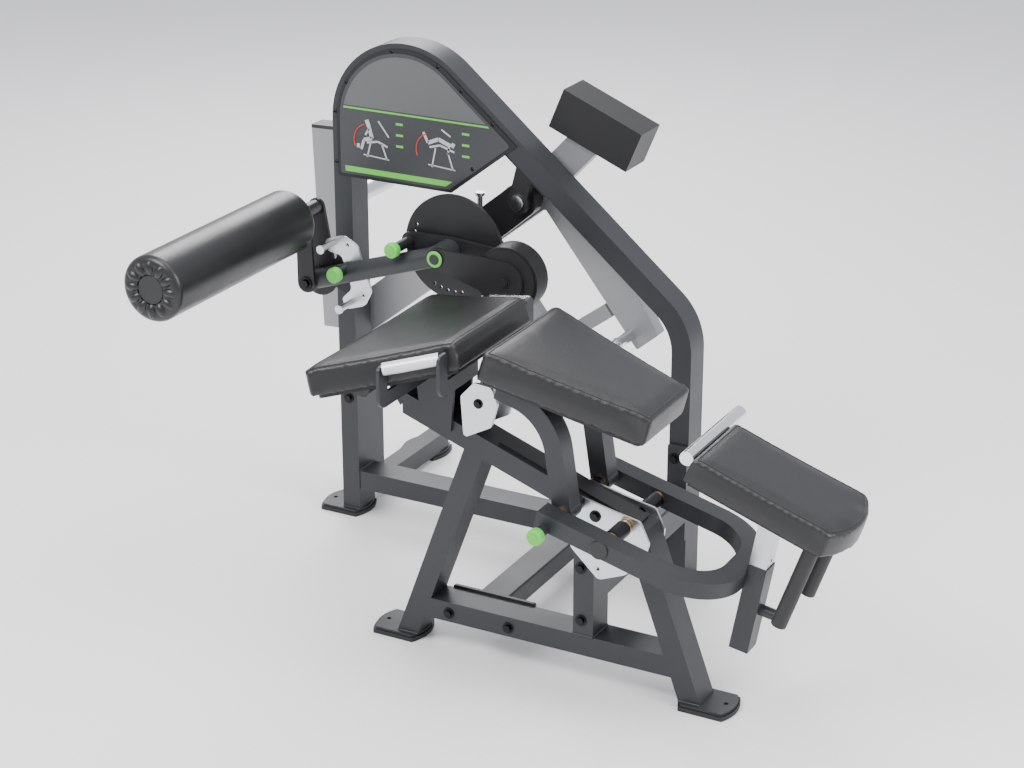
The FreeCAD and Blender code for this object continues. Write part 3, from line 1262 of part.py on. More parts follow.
SLEEVE_FOOT = (1315.5, 172.0)
SLEEVE_LENGTH = 213.0
SLEEVE_FACE = 45.0
SLEEVE_WALL = 2.4
SLEEVE_DIRECTION = 90 - SLEEVE_LEAN
POST_START = 62.0
POST_PIN_STATION = 104.0
POST_BARREL_LENGTH = 34.0
POST_HOLE_STEP = 25.0
POST_HOLES = range(-1, 6)
POST_HOLE_EASE = 0.5
POST_WALL = 2.5


def sleeve_bar(face, depth, low, high):
    return band([polar(SLEEVE_FOOT, low, SLEEVE_DIRECTION), polar(SLEEVE_FOOT, high, SLEEVE_DIRECTION)], [],
                face, SPINE_Y, depth)


def sleeve_block():
    return sleeve_bar(SLEEVE_FACE, TUBE_FACE, 0, SLEEVE_LENGTH)


def sleeve():
    hollow = sleeve_block().cut(sleeve_bar(SLEEVE_FACE - 2 * SLEEVE_WALL, TUBE_FACE - 2 * SLEEVE_WALL,
                                           -1, SLEEVE_LENGTH + 1))
    start, end = post_pin_line(-8, 60)
    return hollow.cut(round_bar(start, end, PIN_RADIUS + FIT))


def post_pin_line(first, last):
    """Two points on the post pin's axis, measured from the sleeve's outer face."""
    base = polar(SLEEVE_FOOT, POST_PIN_STATION, SLEEVE_DIRECTION)
    base = polar(base, SLEEVE_FACE / 2, -SLEEVE_LEAN)
    a = polar(base, first, -SLEEVE_LEAN)
    b = polar(base, last, -SLEEVE_LEAN)
    return Vec(a[0], SPINE_Y, a[1]), Vec(b[0], SPINE_Y, b[1])


def post_barrel():
    start, end = post_pin_line(0, POST_BARREL_LENGTH)
    return round_bar(start, end, BARREL_RADIUS).cut(round_bar(start, end, PIN_RADIUS + FIT))


def post_pin():
    tip, out = post_pin_line(-SLEEVE_WALL, POST_BARREL_LENGTH + 2)
    knob_near = POST_BARREL_LENGTH + SIDE_GAP
    knob_start, knob_end = post_pin_line(knob_near, knob_near + KNOB_LENGTH)
    return joined([round_bar(tip, out, PIN_RADIUS), round_bar(knob_start, knob_end, KNOB_RADIUS - 3)])


POST_FACE = SLEEVE_FACE - 2 * SLEEVE_WALL - 2 * POST_CLEAR
POST_DEPTH = TUBE_FACE - 2 * SLEEVE_WALL - 2 * POST_CLEAR
POST_TOP_X = 1378.0
HEAD_PLATE_X = (1290.0, 1460.0)
HEAD_PLATE_THICK = 6.0
HEAD_PLATE_WIDTH = 110.0


def head_post(board):
    """The bright square post with its row of height holes."""
    top = under_pad(HEAD_ORIGIN, HEAD_ANGLE, HEAD_THICK, POST_TOP_X)
    reach = hypot(top[0] - SLEEVE_FOOT[0], top[1] - SLEEVE_FOOT[1]) + 12
    post = sleeve_bar(POST_FACE, POST_DEPTH, POST_START, reach)
    post = post.cut(sleeve_bar(POST_FACE - 2 * POST_WALL, POST_DEPTH - 2 * POST_WALL, POST_START - 1,
                               reach - 14))
    for step in POST_HOLES:
        base = polar(SLEEVE_FOOT, POST_PIN_STATION + POST_HOLE_STEP * step, SLEEVE_DIRECTION)
        a = polar(base, -60, -SLEEVE_LEAN)
        b = polar(base, 60, -SLEEVE_LEAN)
        hole = round_bar(Vec(a[0], SPINE_Y, a[1]), Vec(b[0], SPINE_Y, b[1]), PIN_RADIUS + POST_HOLE_EASE)
        post = post.cut(hole)
    return post.cut(board)


def head_bracket(post):
    """The plate that bolts the head rest's board to its post."""
    corners = []
    for x, drop in ((HEAD_PLATE_X[0], 0), (HEAD_PLATE_X[0], HEAD_PLATE_THICK),
                    (HEAD_PLATE_X[1], HEAD_PLATE_THICK), (HEAD_PLATE_X[1], 0)):
        top = under_pad(HEAD_ORIGIN, HEAD_ANGLE, HEAD_THICK, x)
        corners.append(polar(top, drop, HEAD_ANGLE - 90) + (0,))
    return side_plate(corners, SPINE_Y - HEAD_PLATE_WIDTH / 2, HEAD_PLATE_WIDTH).cut(post)


HAND_GRIP_RADIUS = 17.5
HAND_GRIP_LENGTH = 205.0
HAND_GRIP_X = 1497.0
HAND_GRIP_OFFSET = 84.0
CHROME_BAR_X = 1207.0
CHROME_BAR_DROP = 20.0
CHROME_BAR_RADIUS = 16.0
CHROME_BAR_NEAR = 90.0              # off the middle plane, towards the user
CHROME_BAR_LENGTH = 290.0


def hand_grips():
    """Two black grips that hang square from the head rest's board."""
    top = under_pad(HEAD_ORIGIN, HEAD_ANGLE, HEAD_THICK, HAND_GRIP_X)
    low = polar(top, HAND_GRIP_LENGTH, HEAD_ANGLE - 90)
    grips = []
    for side in (-1, 1):
        y = SPINE_Y + side * HAND_GRIP_OFFSET
        grips.append(round_bar(Vec(low[0], y, low[1]), Vec(top[0], y, top[1]), HAND_GRIP_RADIUS))
    return grips


def chrome_bar():
    """The bright cross bar at the head rest's near end, which stands out on the far side."""
    axis = under_pad(HEAD_ORIGIN, HEAD_ANGLE, CHROME_BAR_DROP, CHROME_BAR_X)
    return rod(axis, CHROME_BAR_RADIUS, SPINE_Y - CHROME_BAR_NEAR, CHROME_BAR_LENGTH)


# ---------------------------------------------------------------- wear strip, caps and bolts
STRIP_X = (720.0, 1070.0)
STRIP_THICK = 6.0
STRIP_WIDTH = 50.0
BOLT_HEX = 9.5
BOLT_WASHER = 2.5
SEAT_FRAME_BOLTS = ((593.5, 93), (750.5, 93), (POST_X - 7, 290), (POST_X - 5, 159))
PIVOT_PLATE_BOLTS = ((972.5, 429), (1081.5, 361))
ARCH_BOLT = (0.0, 330.0)
FLANGE_BOLT = (RIGHT_LEG_X - 8, FAR_FLANGE_Z[1] - 35)
MOUNT_PLATE_BOLT = (679.5, 642.0)


def wear_strip():
    """The dark guard strip along the beam's top."""
    corners = []
    for x, rise in ((STRIP_X[0], 0), (STRIP_X[1], 0), (STRIP_X[1], STRIP_THICK), (STRIP_X[0], STRIP_THICK)):
        corners.append(on_beam(x, rise) + (0,))
    return side_plate(corners, SPINE_Y - STRIP_WIDTH / 2, STRIP_WIDTH)


def frame_bolts():
    """Hexagon bolts on the frame's faces that look towards the user."""
    bolts = [hex_bolt(spot, SPINE_FRONT, BOLT_HEX, BOLT_WASHER) for spot in SEAT_FRAME_BOLTS]
    plate_face = SPINE_FRONT - PIVOT_PLATE_THICK
    bolts += [hex_bolt(spot, plate_face, BOLT_HEX, BOLT_WASHER) for spot in PIVOT_PLATE_BOLTS]
    bolts.append(hex_bolt(FLANGE_BOLT, ARCH_FRONT - FLANGE_THICK, BOLT_HEX, BOLT_WASHER))
    bolts.append(hex_bolt(ARCH_BOLT, ARCH_FRONT, BOLT_HEX, BOLT_WASHER))
    bolts.append(hex_bolt(MOUNT_PLATE_BOLT, SPINE_FRONT - BRACKET_THICK, 8, 2))
    return bolts


def drum_bolt():
    """The bolt through the balance weight."""
    return hex_bolt(DRUM_CENTRE, LINK_PLATE_Y, 11, BOLT_WASHER)


# ---------------------------------------------------------------- build and export
REST_PIN_FRONT = SPINE_Y - REST_ARM_INNER - REST_ARM_DEPTH
REST_BARREL_LENGTH = 24.0
RING_RADIUS = 17.0
SLEEVE_RADIUS = 19.0
# first and last distance off the middle plane
BENCH_SLEEVE = (46.0, 60.0)
BENCH_INNER_RING = (60.0, 69.0)
BENCH_OUTER_RING = (BENCH_ARM_Y + BENCH_ARM_DEPTH / 2, REST_ARM_INNER - SIDE_GAP)
REST_INNER_RING = (46.0, 57.0)
REST_SLEEVE = (57.0, 116.0)
REST_OUTER_RING = (116.0, REST_ARM_INNER - SIDE_GAP)


def build_frame():
    export(arch_tube(), "arch_tube")
    export(far_rail(), "arch_rail")
    export(leg(REAR_LEG_X, LEG_LEFT_LEAN), "seat_rear_leg")
    export(leg(FRONT_LEG_X, LEG_RIGHT_LEAN), "seat_front_leg")
    shaft_hole = rod(BENCH_PIVOT, BENCH_SHAFT_RADIUS, SPINE_Y - 60, 120)
    export(spine_beam().cut(shaft_hole), "spine_beam")
    export(near_rail(), "seat_rail")
    export(short_post(), "short_post")
    lower, upper = cross_tubes()
    export(group([lower, upper]), "cross_tubes")
    export(flange_plates(), "cross_tube_flanges")
    export(rear_stabiliser(), "rear_stabiliser")
    rubbers, plates = feet()
    export(rubbers, "rubber_feet")
    export(plates, "base_plates")
    export(shroud_panel(), "shroud_panel")
    export(placard(), "placard")
    export(group([bearing_block(), carrier_arm()]), "bearing_housing")
    export(stop_bolt().cut(carrier_arm()), "stop_bolt")
    export(wear_strip(), "wear_strip")
    export(group(frame_bolts() + panel_screws()), "frame_fasteners")


def build_seats():
    foam, seat_board = seat_pieces()
    export(foam, "seat_cushion")
    bracket = seat_bracket().cut(spine_beam_block())
    bars = [bar.cut(bracket) for bar in handle_brackets()]
    export(group([bracket] + bars), "seat_brackets")
    export(group([grip.cut(bars) for grip in seat_grips()]), "seat_grips")
    export(knee_bumper().cut(bracket), "knee_bumper")
    foam, bench_board = bench_pieces()
    export(foam, "bench_cushion")
    export(group([seat_board, bench_board]), "seat_and_bench_boards")
    export(group(bench_frame()), "bench_frame")
    export(group(mount_plates()), "bench_mount_plates")
    export(group(pivot_plates()), "pivot_plates")
    rings = []
    for first, last in (BENCH_INNER_RING, BENCH_OUTER_RING):
        rings += spacer_rings(BENCH_PIVOT, BENCH_SHAFT_RADIUS, RING_RADIUS, first, last)
    for first, last in (REST_INNER_RING, REST_OUTER_RING):
        rings += spacer_rings(LEG_REST_AXIS, REST_SHAFT_RADIUS, RING_RADIUS, first, last)
    sleeves = spacer_rings(LEG_REST_AXIS, REST_SHAFT_RADIUS, SLEEVE_RADIUS, *REST_SLEEVE)
    sleeves += spacer_rings(BENCH_PIVOT, BENCH_SHAFT_RADIUS, SLEEVE_RADIUS, *BENCH_SLEEVE)
    export(group(rings), "bronze_spacers")
    export(group([bench_shaft()] + rest_stubs() + sleeves), "bench_and_rest_shafts")


def build_drive():
    export(drive_disc(), "drive_disc")
    export(drive_shaft(), "drive_shaft")
    export(drive_crank(), "drive_crank")
    export(drive_link(), "drive_link")
    export(weight_arm(), "weight_arm")
    export(group([weight_arm_shaft(), front_arm_stub()]), "weight_arm_shafts")
    export(weight_box_block(), "counterweight_box")
    export(column_cap(), "column_cap")
    export(weight_horn(), "weight_horn")


def build_lever():
    export(group([lever_near_link(), lever_far_bar(), drum_bolt()]), "lever_link_plates")
    export(lever_tube(), "lever_tube")
    export(counterweight_drum(), "counterweight_drum")
    export(peg_plate(), "peg_plate")
    start_barrel = pin_barrel(START_PIN, START_BARREL_Y, FAR_BAR_Y - START_BARREL_Y)
    adjust_barrel = pin_barrel(ADJUST_PIN, ADJUST_BARREL_Y, FAR_ARM_Y - SIDE_GAP - ADJUST_BARREL_Y)
    export(group([start_barrel, adjust_barrel]), "lever_pin_barrels")
    export(pull_pin(START_PIN, START_BARREL_Y, DISC_FACE_Y - SIDE_GAP), "start_pin")
    export(pull_pin(ADJUST_PIN, ADJUST_BARREL_Y, FAR_ARM_Y - SIDE_GAP), "roller_arm_pin")
    export(roller_arm_plates(), "roller_arm_plates")
    export(roller_arm_pivot(), "roller_arm_pivot")
    export(roller_axle(), "roller_axle")
    export(roller_foam(), "roller_foam")
    export(roller_end_cap(), "roller_end_cap")


def build_head_rest():
    pin_bore = rod(REST_PIN, PIN_RADIUS + FIT, REST_PIN_FRONT - 50, 120)
    export(rest_frame().cut(pin_bore), "rest_frame")
    barrel_near = REST_PIN_FRONT - REST_BARREL_LENGTH
    rest_barrel = pin_barrel(REST_PIN, barrel_near, REST_BARREL_LENGTH)
    export(group([rest_barrel, post_barrel()]), "rest_pin_barrels")
    tip = SPINE_FRONT - PIVOT_PLATE_THICK - SIDE_GAP
    export(pull_pin(REST_PIN, barrel_near, tip), "rest_pin")
    export(sleeve(), "post_sleeve")
    export(post_pin(), "post_pin")
    foam, board = head_pieces()
    post = head_post(board).cut(foam)
    export(foam, "head_cushion")
    export(board, "head_board")
    export(group([post, head_bracket(post)]), "head_post")
    export(group(hand_grips()), "hand_grips")
    export(chrome_bar().cut([board, foam]), "chrome_bar")


os.makedirs("parts", exist_ok=True)
build_frame()
build_seats()
build_drive()
build_lever()
build_head_rest()
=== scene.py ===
"""Looks of the leg extension machine: materials, cushions, trim, studio and camera.

Metres, in the CAD model's frame: +X towards the head rest, -Y towards the user, +Z up.
"""

import json
from math import atan2, cos, hypot, pi, radians, sin, sqrt, tan

import bmesh
import bpy
import numpy as np
from mathutils import Matrix, Vector


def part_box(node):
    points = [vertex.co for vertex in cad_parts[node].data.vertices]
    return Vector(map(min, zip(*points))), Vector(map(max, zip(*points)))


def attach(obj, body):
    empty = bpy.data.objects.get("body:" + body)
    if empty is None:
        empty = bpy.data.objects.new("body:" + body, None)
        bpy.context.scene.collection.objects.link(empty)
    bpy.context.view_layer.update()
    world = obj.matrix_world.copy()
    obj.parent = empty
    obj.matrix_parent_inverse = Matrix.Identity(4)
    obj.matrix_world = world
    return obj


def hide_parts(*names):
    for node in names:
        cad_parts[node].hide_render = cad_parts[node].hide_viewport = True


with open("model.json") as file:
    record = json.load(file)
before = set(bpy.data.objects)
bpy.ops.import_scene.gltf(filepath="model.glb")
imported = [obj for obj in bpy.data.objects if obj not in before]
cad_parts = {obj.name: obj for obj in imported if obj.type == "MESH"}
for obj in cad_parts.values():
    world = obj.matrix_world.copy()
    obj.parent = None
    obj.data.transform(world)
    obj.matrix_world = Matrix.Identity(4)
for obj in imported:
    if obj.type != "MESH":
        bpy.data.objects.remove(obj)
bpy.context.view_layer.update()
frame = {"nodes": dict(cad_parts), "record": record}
NODES = frame["nodes"]

# ---------------------------------------------------------------- named sizes
LEVER_AXIS = Vector((0.3585, 0, 0.818))
ROLLER_AXIS = Vector((-0.0105, 0, 0.878))
REST_AXIS = Vector((1.0465, 0, 0.420))
VOXEL = 0.006
SWELL_PASSES = 14                # how far the cushions' small wrinkles are evened out
SEAM_INSET = 0.013              # seam inside the pad's outline
TUBE_EDGE = 0.004               # rounding of the box tube's edges
PLATE_EDGE = 0.0012
CUSHION_START = 0.001           # a cushion's cover starts this much inside its block
CUSHION_PRESSURE = 2.5
CLOTH_STEPS = 20
SEAM_RADIUS = 0.0013
TUBE_FACE = 0.0508
LEG_FACE = 0.054                # a leaning leg, measured level
WELD_RADIUS = 0.0032
WELD_RIPPLE = 0.0022
PETALS = 12
PETAL_CIRCLE = 0.051
PETAL_SIZE = (0.0195, 0.013, 0.0125)
PETAL_DEPTH = 0.006             # petals' middle behind the roller's end
FLOOR_REACH = 14.0
CAP_THICK = 0.004
BUTTON_THICK = 0.0015
CAMERA_PLACE = (3.0444, -4.8659, 2.670)
CAMERA_TURN = (67.982, 0, 27.990)
CAMERA_LENS = 83.48


# ---------------------------------------------------------------- materials
def new_material(name, color, metallic, roughness):
    mat = bpy.data.materials.new(name)
    mat.use_nodes = True
    shader = mat.node_tree.nodes["Principled BSDF"]
    shader.inputs["Base Color"].default_value = (*color, 1)
    shader.inputs["Metallic"].default_value = metallic
    shader.inputs["Roughness"].default_value = roughness
    return mat, mat.node_tree, shader


def object_noise(tree, scale, detail=3.0, stretch=(1, 1, 1)):
    """Noise fixed to the object's own coordinates, in metres."""
    coord = tree.nodes.new("ShaderNodeTexCoord")
    mapping = tree.nodes.new("ShaderNodeMapping")
    mapping.inputs["Scale"].default_value = stretch
    noise = tree.nodes.new("ShaderNodeTexNoise")
    noise.inputs["Scale"].default_value = scale
    noise.inputs["Detail"].default_value = detail
    tree.links.new(coord.outputs["Object"], mapping.inputs["Vector"])
    tree.links.new(mapping.outputs["Vector"], noise.inputs["Vector"])
    return noise


def add_bump(tree, shader, height, strength, distance):
    bump = tree.nodes.new("ShaderNodeBump")
    bump.inputs["Strength"].default_value = strength
    bump.inputs["Distance"].default_value = distance
    tree.links.new(height, bump.inputs["Height"])
    tree.links.new(bump.outputs["Normal"], shader.inputs["Normal"])


def vary_roughness(tree, shader, noise, low, high):
    spread = tree.nodes.new("ShaderNodeMapRange")
    spread.inputs["To Min"].default_value = low
    spread.inputs["To Max"].default_value = high
    tree.links.new(noise.outputs["Fac"], spread.inputs["Value"])
    tree.links.new(spread.outputs["Result"], shader.inputs["Roughness"])


def powder_coat(name, color, roughness=0.42):
    """Painted steel with a fine orange-peel grain."""
    mat, tree, shader = new_material(name, color, 0.25, roughness)
    fine = object_noise(tree, 1400, 2.0)
    add_bump(tree, shader, fine.outputs["Fac"], 0.18, 0.0006)
    vary_roughness(tree, shader, object_noise(tree, 9, 4.0), roughness - 0.06, roughness + 0.08)
    return mat


def brushed_metal(name, color, roughness):
    """Metal with fine lines drawn along Z."""
    mat, tree, shader = new_material(name, color, 1.0, roughness)
    lines = object_noise(tree, 60, 3.0, (1, 1, 40))
    add_bump(tree, shader, lines.outputs["Fac"], 0.06, 0.0004)
    vary_roughness(tree, shader, lines, roughness - 0.05, roughness + 0.08)
    return mat


def vinyl(name, color, roughness, grain_scale=420, grain=0.35):
    """Grained upholstery vinyl: rounded cells with finer wrinkles."""
    mat, tree, shader = new_material(name, color, 0.0, roughness)
    coord = tree.nodes.new("ShaderNodeTexCoord")
    cells = tree.nodes.new("ShaderNodeTexVoronoi")
    cells.feature = "SMOOTH_F1"
    cells.inputs["Scale"].default_value = grain_scale
    tree.links.new(coord.outputs["Object"], cells.inputs["Vector"])
    fine = object_noise(tree, grain_scale * 2.5, 3.0)
    mix = tree.nodes.new("ShaderNodeMath")
    mix.operation = "ADD"
    tree.links.new(cells.outputs["Distance"], mix.inputs[0])
    tree.links.new(fine.outputs["Fac"], mix.inputs[1])
    add_bump(tree, shader, mix.outputs["Value"], grain, 0.0008)
    vary_roughness(tree, shader, object_noise(tree, 14, 4.0), roughness - 0.05, roughness + 0.1)
    return mat


def knurled(name, color):
    """Crossed spiral ridges on a bright grip, from two diagonal waves."""
    mat, tree, shader = new_material(name, color, 1.0, 0.22)
    coord = tree.nodes.new("ShaderNodeTexCoord")
    waves = []
    for tilt in (45, -45):
        mapping = tree.nodes.new("ShaderNodeMapping")
        mapping.inputs["Rotation"].default_value = (0, radians(tilt), 0)
        wave = tree.nodes.new("ShaderNodeTexWave")
        wave.inputs["Scale"].default_value = 110
        tree.links.new(coord.outputs["Object"], mapping.inputs["Vector"])
        tree.links.new(mapping.outputs["Vector"], wave.inputs["Vector"])
        waves.append(wave)
    both = tree.nodes.new("ShaderNodeMath")
    both.operation = "MULTIPLY"
    tree.links.new(waves[0].outputs["Fac"], both.inputs[0])
    tree.links.new(waves[1].outputs["Fac"], both.inputs[1])
    add_bump(tree, shader, both.outputs["Value"], 0.8, 0.0008)
    return mat


def plastic(name, color, roughness):
    """Moulded plastic, rubber or print with a faint grain."""
    mat, tree, shader = new_material(name, color, 0.0, roughness)
    add_bump(tree, shader, object_noise(tree, 700, 2.0).outputs["Fac"], 0.08, 0.0004)
    return mat


MATS = {
    "powder_graphite": powder_coat("powder_graphite", (0.027, 0.0285, 0.032)),
    "powder_silver": powder_coat("powder_silver", (0.27, 0.27, 0.28), 0.40),
    "powder_black": powder_coat("powder_black", (0.013, 0.013, 0.014), 0.45),
    "bright_steel": brushed_metal("bright_steel", (0.66, 0.67, 0.69), 0.30),
    "chrome": brushed_metal("chrome", (0.80, 0.81, 0.83), 0.12),
    "bronze": brushed_metal("bronze", (0.62, 0.42, 0.22), 0.30),
    "zinc_steel": brushed_metal("zinc_steel", (0.10, 0.10, 0.105), 0.34),
    "black_oxide": brushed_metal("black_oxide", (0.028, 0.028, 0.03), 0.36),
    "vinyl_foam": vinyl("vinyl_foam", (0.011, 0.011, 0.012), 0.34),
    "plywood": plastic("plywood", (0.008, 0.008, 0.008), 0.55),
    "rubber": plastic("rubber", (0.012, 0.012, 0.012), 0.62),
    "green_plastic": plastic("green_plastic", (0.09, 0.52, 0.055), 0.38),
    "black_plastic": plastic("black_plastic", (0.012, 0.012, 0.013), 0.42),
    "placard_plate": plastic("placard_plate", (0.038, 0.040, 0.043), 0.38),
    "knurled_chrome": knurled("knurled_chrome", (0.78, 0.79, 0.81)),
    "roller_skin": vinyl("roller_skin", (0.010, 0.010, 0.011), 0.30, 300, 0.2),
    "placard_light": plastic("placard_light", (0.095, 0.098, 0.10), 0.35),
    "placard_green": plastic("placard_green", (0.12, 0.50, 0.06), 0.35),
    "placard_line": plastic("placard_line", (0.42, 0.43, 0.44), 0.4),
    "placard_red": plastic("placard_red", (0.55, 0.03, 0.02), 0.4),
    "seam_thread": plastic("seam_thread", (0.006, 0.006, 0.006), 0.5),
    "grip_foam": vinyl("grip_foam", (0.012, 0.012, 0.012), 0.55, 700, 0.25),
}
OWN_FINISH = {"seat_grips": "knurled_chrome", "roller_foam": "roller_skin", "hand_grips": "grip_foam",
              "frame_fasteners": "black_oxide", "bench_and_rest_shafts": "black_oxide",
              "roller_arm_pivot": "black_oxide", "drive_shaft": "black_oxide"}


def paint(obj, name):
    obj.data.materials.clear()
    obj.data.materials.append(MATS[name])


def paint_frame():
    for part in frame["record"]["subparts"]:
        node = part["node"]
        paint(NODES[node], OWN_FINISH.get(node, part["material_slot"]))


TUBES = ("arch_tube", "arch_rail", "seat_rear_leg", "seat_front_leg", "spine_beam", "seat_rail", "short_post",
         "cross_tubes", "rear_stabiliser", "rest_frame", "post_sleeve", "bench_frame", "weight_arm",
         "head_post", "counterweight_box", "column_cap")
PLATES = ("cross_tube_flanges", "base_plates", "rubber_feet", "shroud_panel", "bearing_housing", "drive_disc",
          "drive_crank", "drive_link", "lever_link_plates", "counterweight_drum", "roller_arm_plates",
          "bench_mount_plates", "pivot_plates", "peg_plate", "seat_brackets", "bronze_spacers", "chrome_bar",
          "frame_fasteners", "weight_arm_shafts", "bench_and_rest_shafts", "lever_pin_barrels",
          "rest_pin_barrels", "knee_bumper", "weight_horn", "stop_bolt", "roller_end_cap", "wear_strip",
          "seat_and_bench_boards", "head_board", "hand_grips", "placard", "roller_arm_pivot", "seat_grips")


def soften(names, width, segments):
    """Rounds the crisp edges of CAD nodes, for the light that catches on them."""
    for name in names:
        bevel = NODES[name].modifiers.new("edge_round", "BEVEL")
        bevel.width = width
        bevel.segments = segments
        bevel.limit_method = "ANGLE"
        bevel.angle_limit = radians(35)
        bevel.use_clamp_overlap = True
        bevel.harden_normals = True


# ---------------------------------------------------------------- mesh helpers
def add_object(name, mesh, material, body="frame"):
    obj = bpy.data.objects.new(name, mesh)
    bpy.context.scene.collection.objects.link(obj)
    obj.data.materials.append(MATS[material])
    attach(obj, body)
    return obj


def flat_plate(name, points, y, thickness, material, body="frame"):
    """A thin plate whose outline (x, z) faces the user."""
    mesh = bmesh.new()
    back = [mesh.verts.new((x, y, z)) for x, z in points]
    front = [mesh.verts.new((x, y - thickness, z)) for x, z in points]
    count = len(points)
    mesh.faces.new(front)
    mesh.faces.new(back[::-1])
    for i in range(count):
        j = (i + 1) % count
        mesh.faces.new((back[i], back[j], front[j], front[i]))
    bmesh.ops.recalc_face_normals(mesh, faces=mesh.faces)
    data = bpy.data.meshes.new(name)
    mesh.to_mesh(data)
    mesh.free()
    return add_object(name, data, material, body)


def tube_along(name, points, radius, material, body="frame", cyclic=False, resolution=4, ripple=1.0):
    """A round bead along a list of points, every other one of which can be thinner."""
    curve = bpy.data.curves.new(name, "CURVE")
    curve.dimensions = "3D"
    curve.bevel_depth = radius
    curve.bevel_resolution = resolution
    curve.use_fill_caps = True
    spline = curve.splines.new("POLY")
    spline.points.add(len(points) - 1)
    for i, place in enumerate(points):
        spline.points[i].co = (*place, 1)
        spline.points[i].radius = 1.0 if i % 2 else ripple
    spline.use_cyclic_u = cyclic
    obj = bpy.data.objects.new(name, curve)
    bpy.context.scene.collection.objects.link(obj)
    curve.materials.append(MATS[material])
    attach(obj, body)
    return obj


# ---------------------------------------------------------------- cushions
def apply_modifiers(obj):
    depsgraph = bpy.context.evaluated_depsgraph_get()
    done = bpy.data.meshes.new_from_object(obj.evaluated_get(depsgraph))
    obj.modifiers.clear()
    obj.data = done


def pad_normal(mesh):
    """The direction of the pad's top: its largest face that looks up."""
    top = max((face for face in mesh.polygons if face.normal.z > 0.5), key=lambda face: face.area)
    return top.normal.copy()


def even_out(mesh, rest, limit):
    """Keeps the stuffing's broad swell, without its small wrinkles, and no further than a limit."""
    start = np.array([tuple(place) for place in rest])
    moves = np.array([tuple(vertex.co) for vertex in mesh.vertices]) - start
    reach = np.maximum(np.linalg.norm(moves, axis=1), 1e-9)
    moves *= np.minimum(1.0, limit / reach)[:, None]
    pairs = np.array([tuple(edge.vertices) for edge in mesh.edges])
    count = np.bincount(pairs.ravel(), minlength=len(start))[:, None]
    for _ in range(SWELL_PASSES):
        total = np.zeros_like(moves)
        np.add.at(total, pairs[:, 0], moves[pairs[:, 1]])
        np.add.at(total, pairs[:, 1], moves[pairs[:, 0]])
        moves = 0.4 * moves + 0.6 * total / np.maximum(count, 1)
    for vertex, place in zip(mesh.vertices, start + moves):
        vertex.co = place


def puff_pad(node, body, limit):
    """A stuffed pad: the CAD block, blown up as cloth with its underside held on its board."""
    source = NODES[node]
    normal = pad_normal(source.data)
    obj = bpy.data.objects.new(node + "_cover", source.data.copy())
    bpy.context.scene.collection.objects.link(obj)
    remesh = obj.modifiers.new("even_mesh", "REMESH")
    remesh.mode = "VOXEL"
    remesh.voxel_size = VOXEL
    apply_modifiers(obj)
    mesh = obj.data
    levels = [vertex.co.dot(normal) for vertex in mesh.vertices]
    low = min(levels)
    high = max(levels)
    centre = sum((vertex.co for vertex in mesh.vertices), Vector()) / len(mesh.vertices)
    for vertex, level in zip(mesh.vertices, levels):
        flat = vertex.co - centre
        rise = flat.dot(normal)
        across = flat - normal * rise
        reach = max(across.length, 1e-6)
        vertex.co -= across * min(CUSHION_START / reach, 0.5)
        vertex.co -= normal * (CUSHION_START * 0.6 * (level - low) / (high - low))
    held = obj.vertex_groups.new(name="held")
    for vertex, level in zip(mesh.vertices, levels):
        if level < low + VOXEL * 1.2:
            held.add([vertex.index], 1.0, "REPLACE")
    rest = [vertex.co.copy() for vertex in mesh.vertices]
    cloth = obj.modifiers.new("stuffing", "CLOTH")
    cloth.settings.quality = 5
    cloth.settings.use_pressure = True
    cloth.settings.uniform_pressure_force = CUSHION_PRESSURE
    cloth.settings.tension_stiffness = 60
    cloth.settings.compression_stiffness = 60
    cloth.settings.bending_stiffness = 12
    cloth.settings.vertex_group_mass = "held"
    cloth.settings.effector_weights.gravity = 0
    cloth.collision_settings.use_self_collision = False
    for step in range(1, CLOTH_STEPS + 1):
        bpy.context.scene.frame_set(step)
    apply_modifiers(obj)
    bpy.context.scene.frame_set(1)
    even_out(obj.data, rest, limit)
    smooth = obj.modifiers.new("settle", "SMOOTH")
    smooth.factor = 0.5
    smooth.iterations = 2
    finer = obj.modifiers.new("finer", "SUBSURF")
    finer.levels = 1
    finer.render_levels = 1
    apply_modifiers(obj)
    for face in obj.data.polygons:
        face.use_smooth = True
    obj.data.materials.clear()
    obj.data.materials.append(MATS["vinyl_foam"])
    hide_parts(node)
    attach(obj, body)
    return obj


# ---------------------------------------------------------------- placard
PLACARD_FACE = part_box("placard")[0][1] - 0.0003
INK = 0.0004
BAND_STEPS = 40
MARK_STEPS = 14
SKETCH_SIZE = 0.105
ARCH_CENTRE = (0.1835, 1.077)
ART_RADIUS = 0.176
SLOPE = radians(40.1)
SLOPE_POINT = (0.6435 - 0.033 * sin(SLOPE), 0.963 - 0.033 * cos(SLOPE))
ART_LEFT = 0.008
TIP_START = (0.300, 0.944)
TIP_ANGLE = radians(38.0)


def art_left(z):
    """The placard's left edge at a height."""
    if z <= ARCH_CENTRE[1]:
        return ART_LEFT
    rise = min(z - ARCH_CENTRE[1], ART_RADIUS)
    return ARCH_CENTRE[0] - sqrt(max(ART_RADIUS ** 2 - rise ** 2, 0))


def art_right(z):
    """The placard's right edge at a height: bend, slope or slanted tip."""
    slope = SLOPE_POINT[0] + (SLOPE_POINT[1] - z) / tan(SLOPE)
    slanted = TIP_START[0] + (z - TIP_START[1]) / tan(TIP_ANGLE)
    rise = z - ARCH_CENTRE[1]
    arc = ARCH_CENTRE[0] + sqrt(max(ART_RADIUS ** 2 - rise ** 2, 0))
    beyond_arc = rise > ART_RADIUS * cos(SLOPE)
    return min(arc if beyond_arc else slope, slanted)


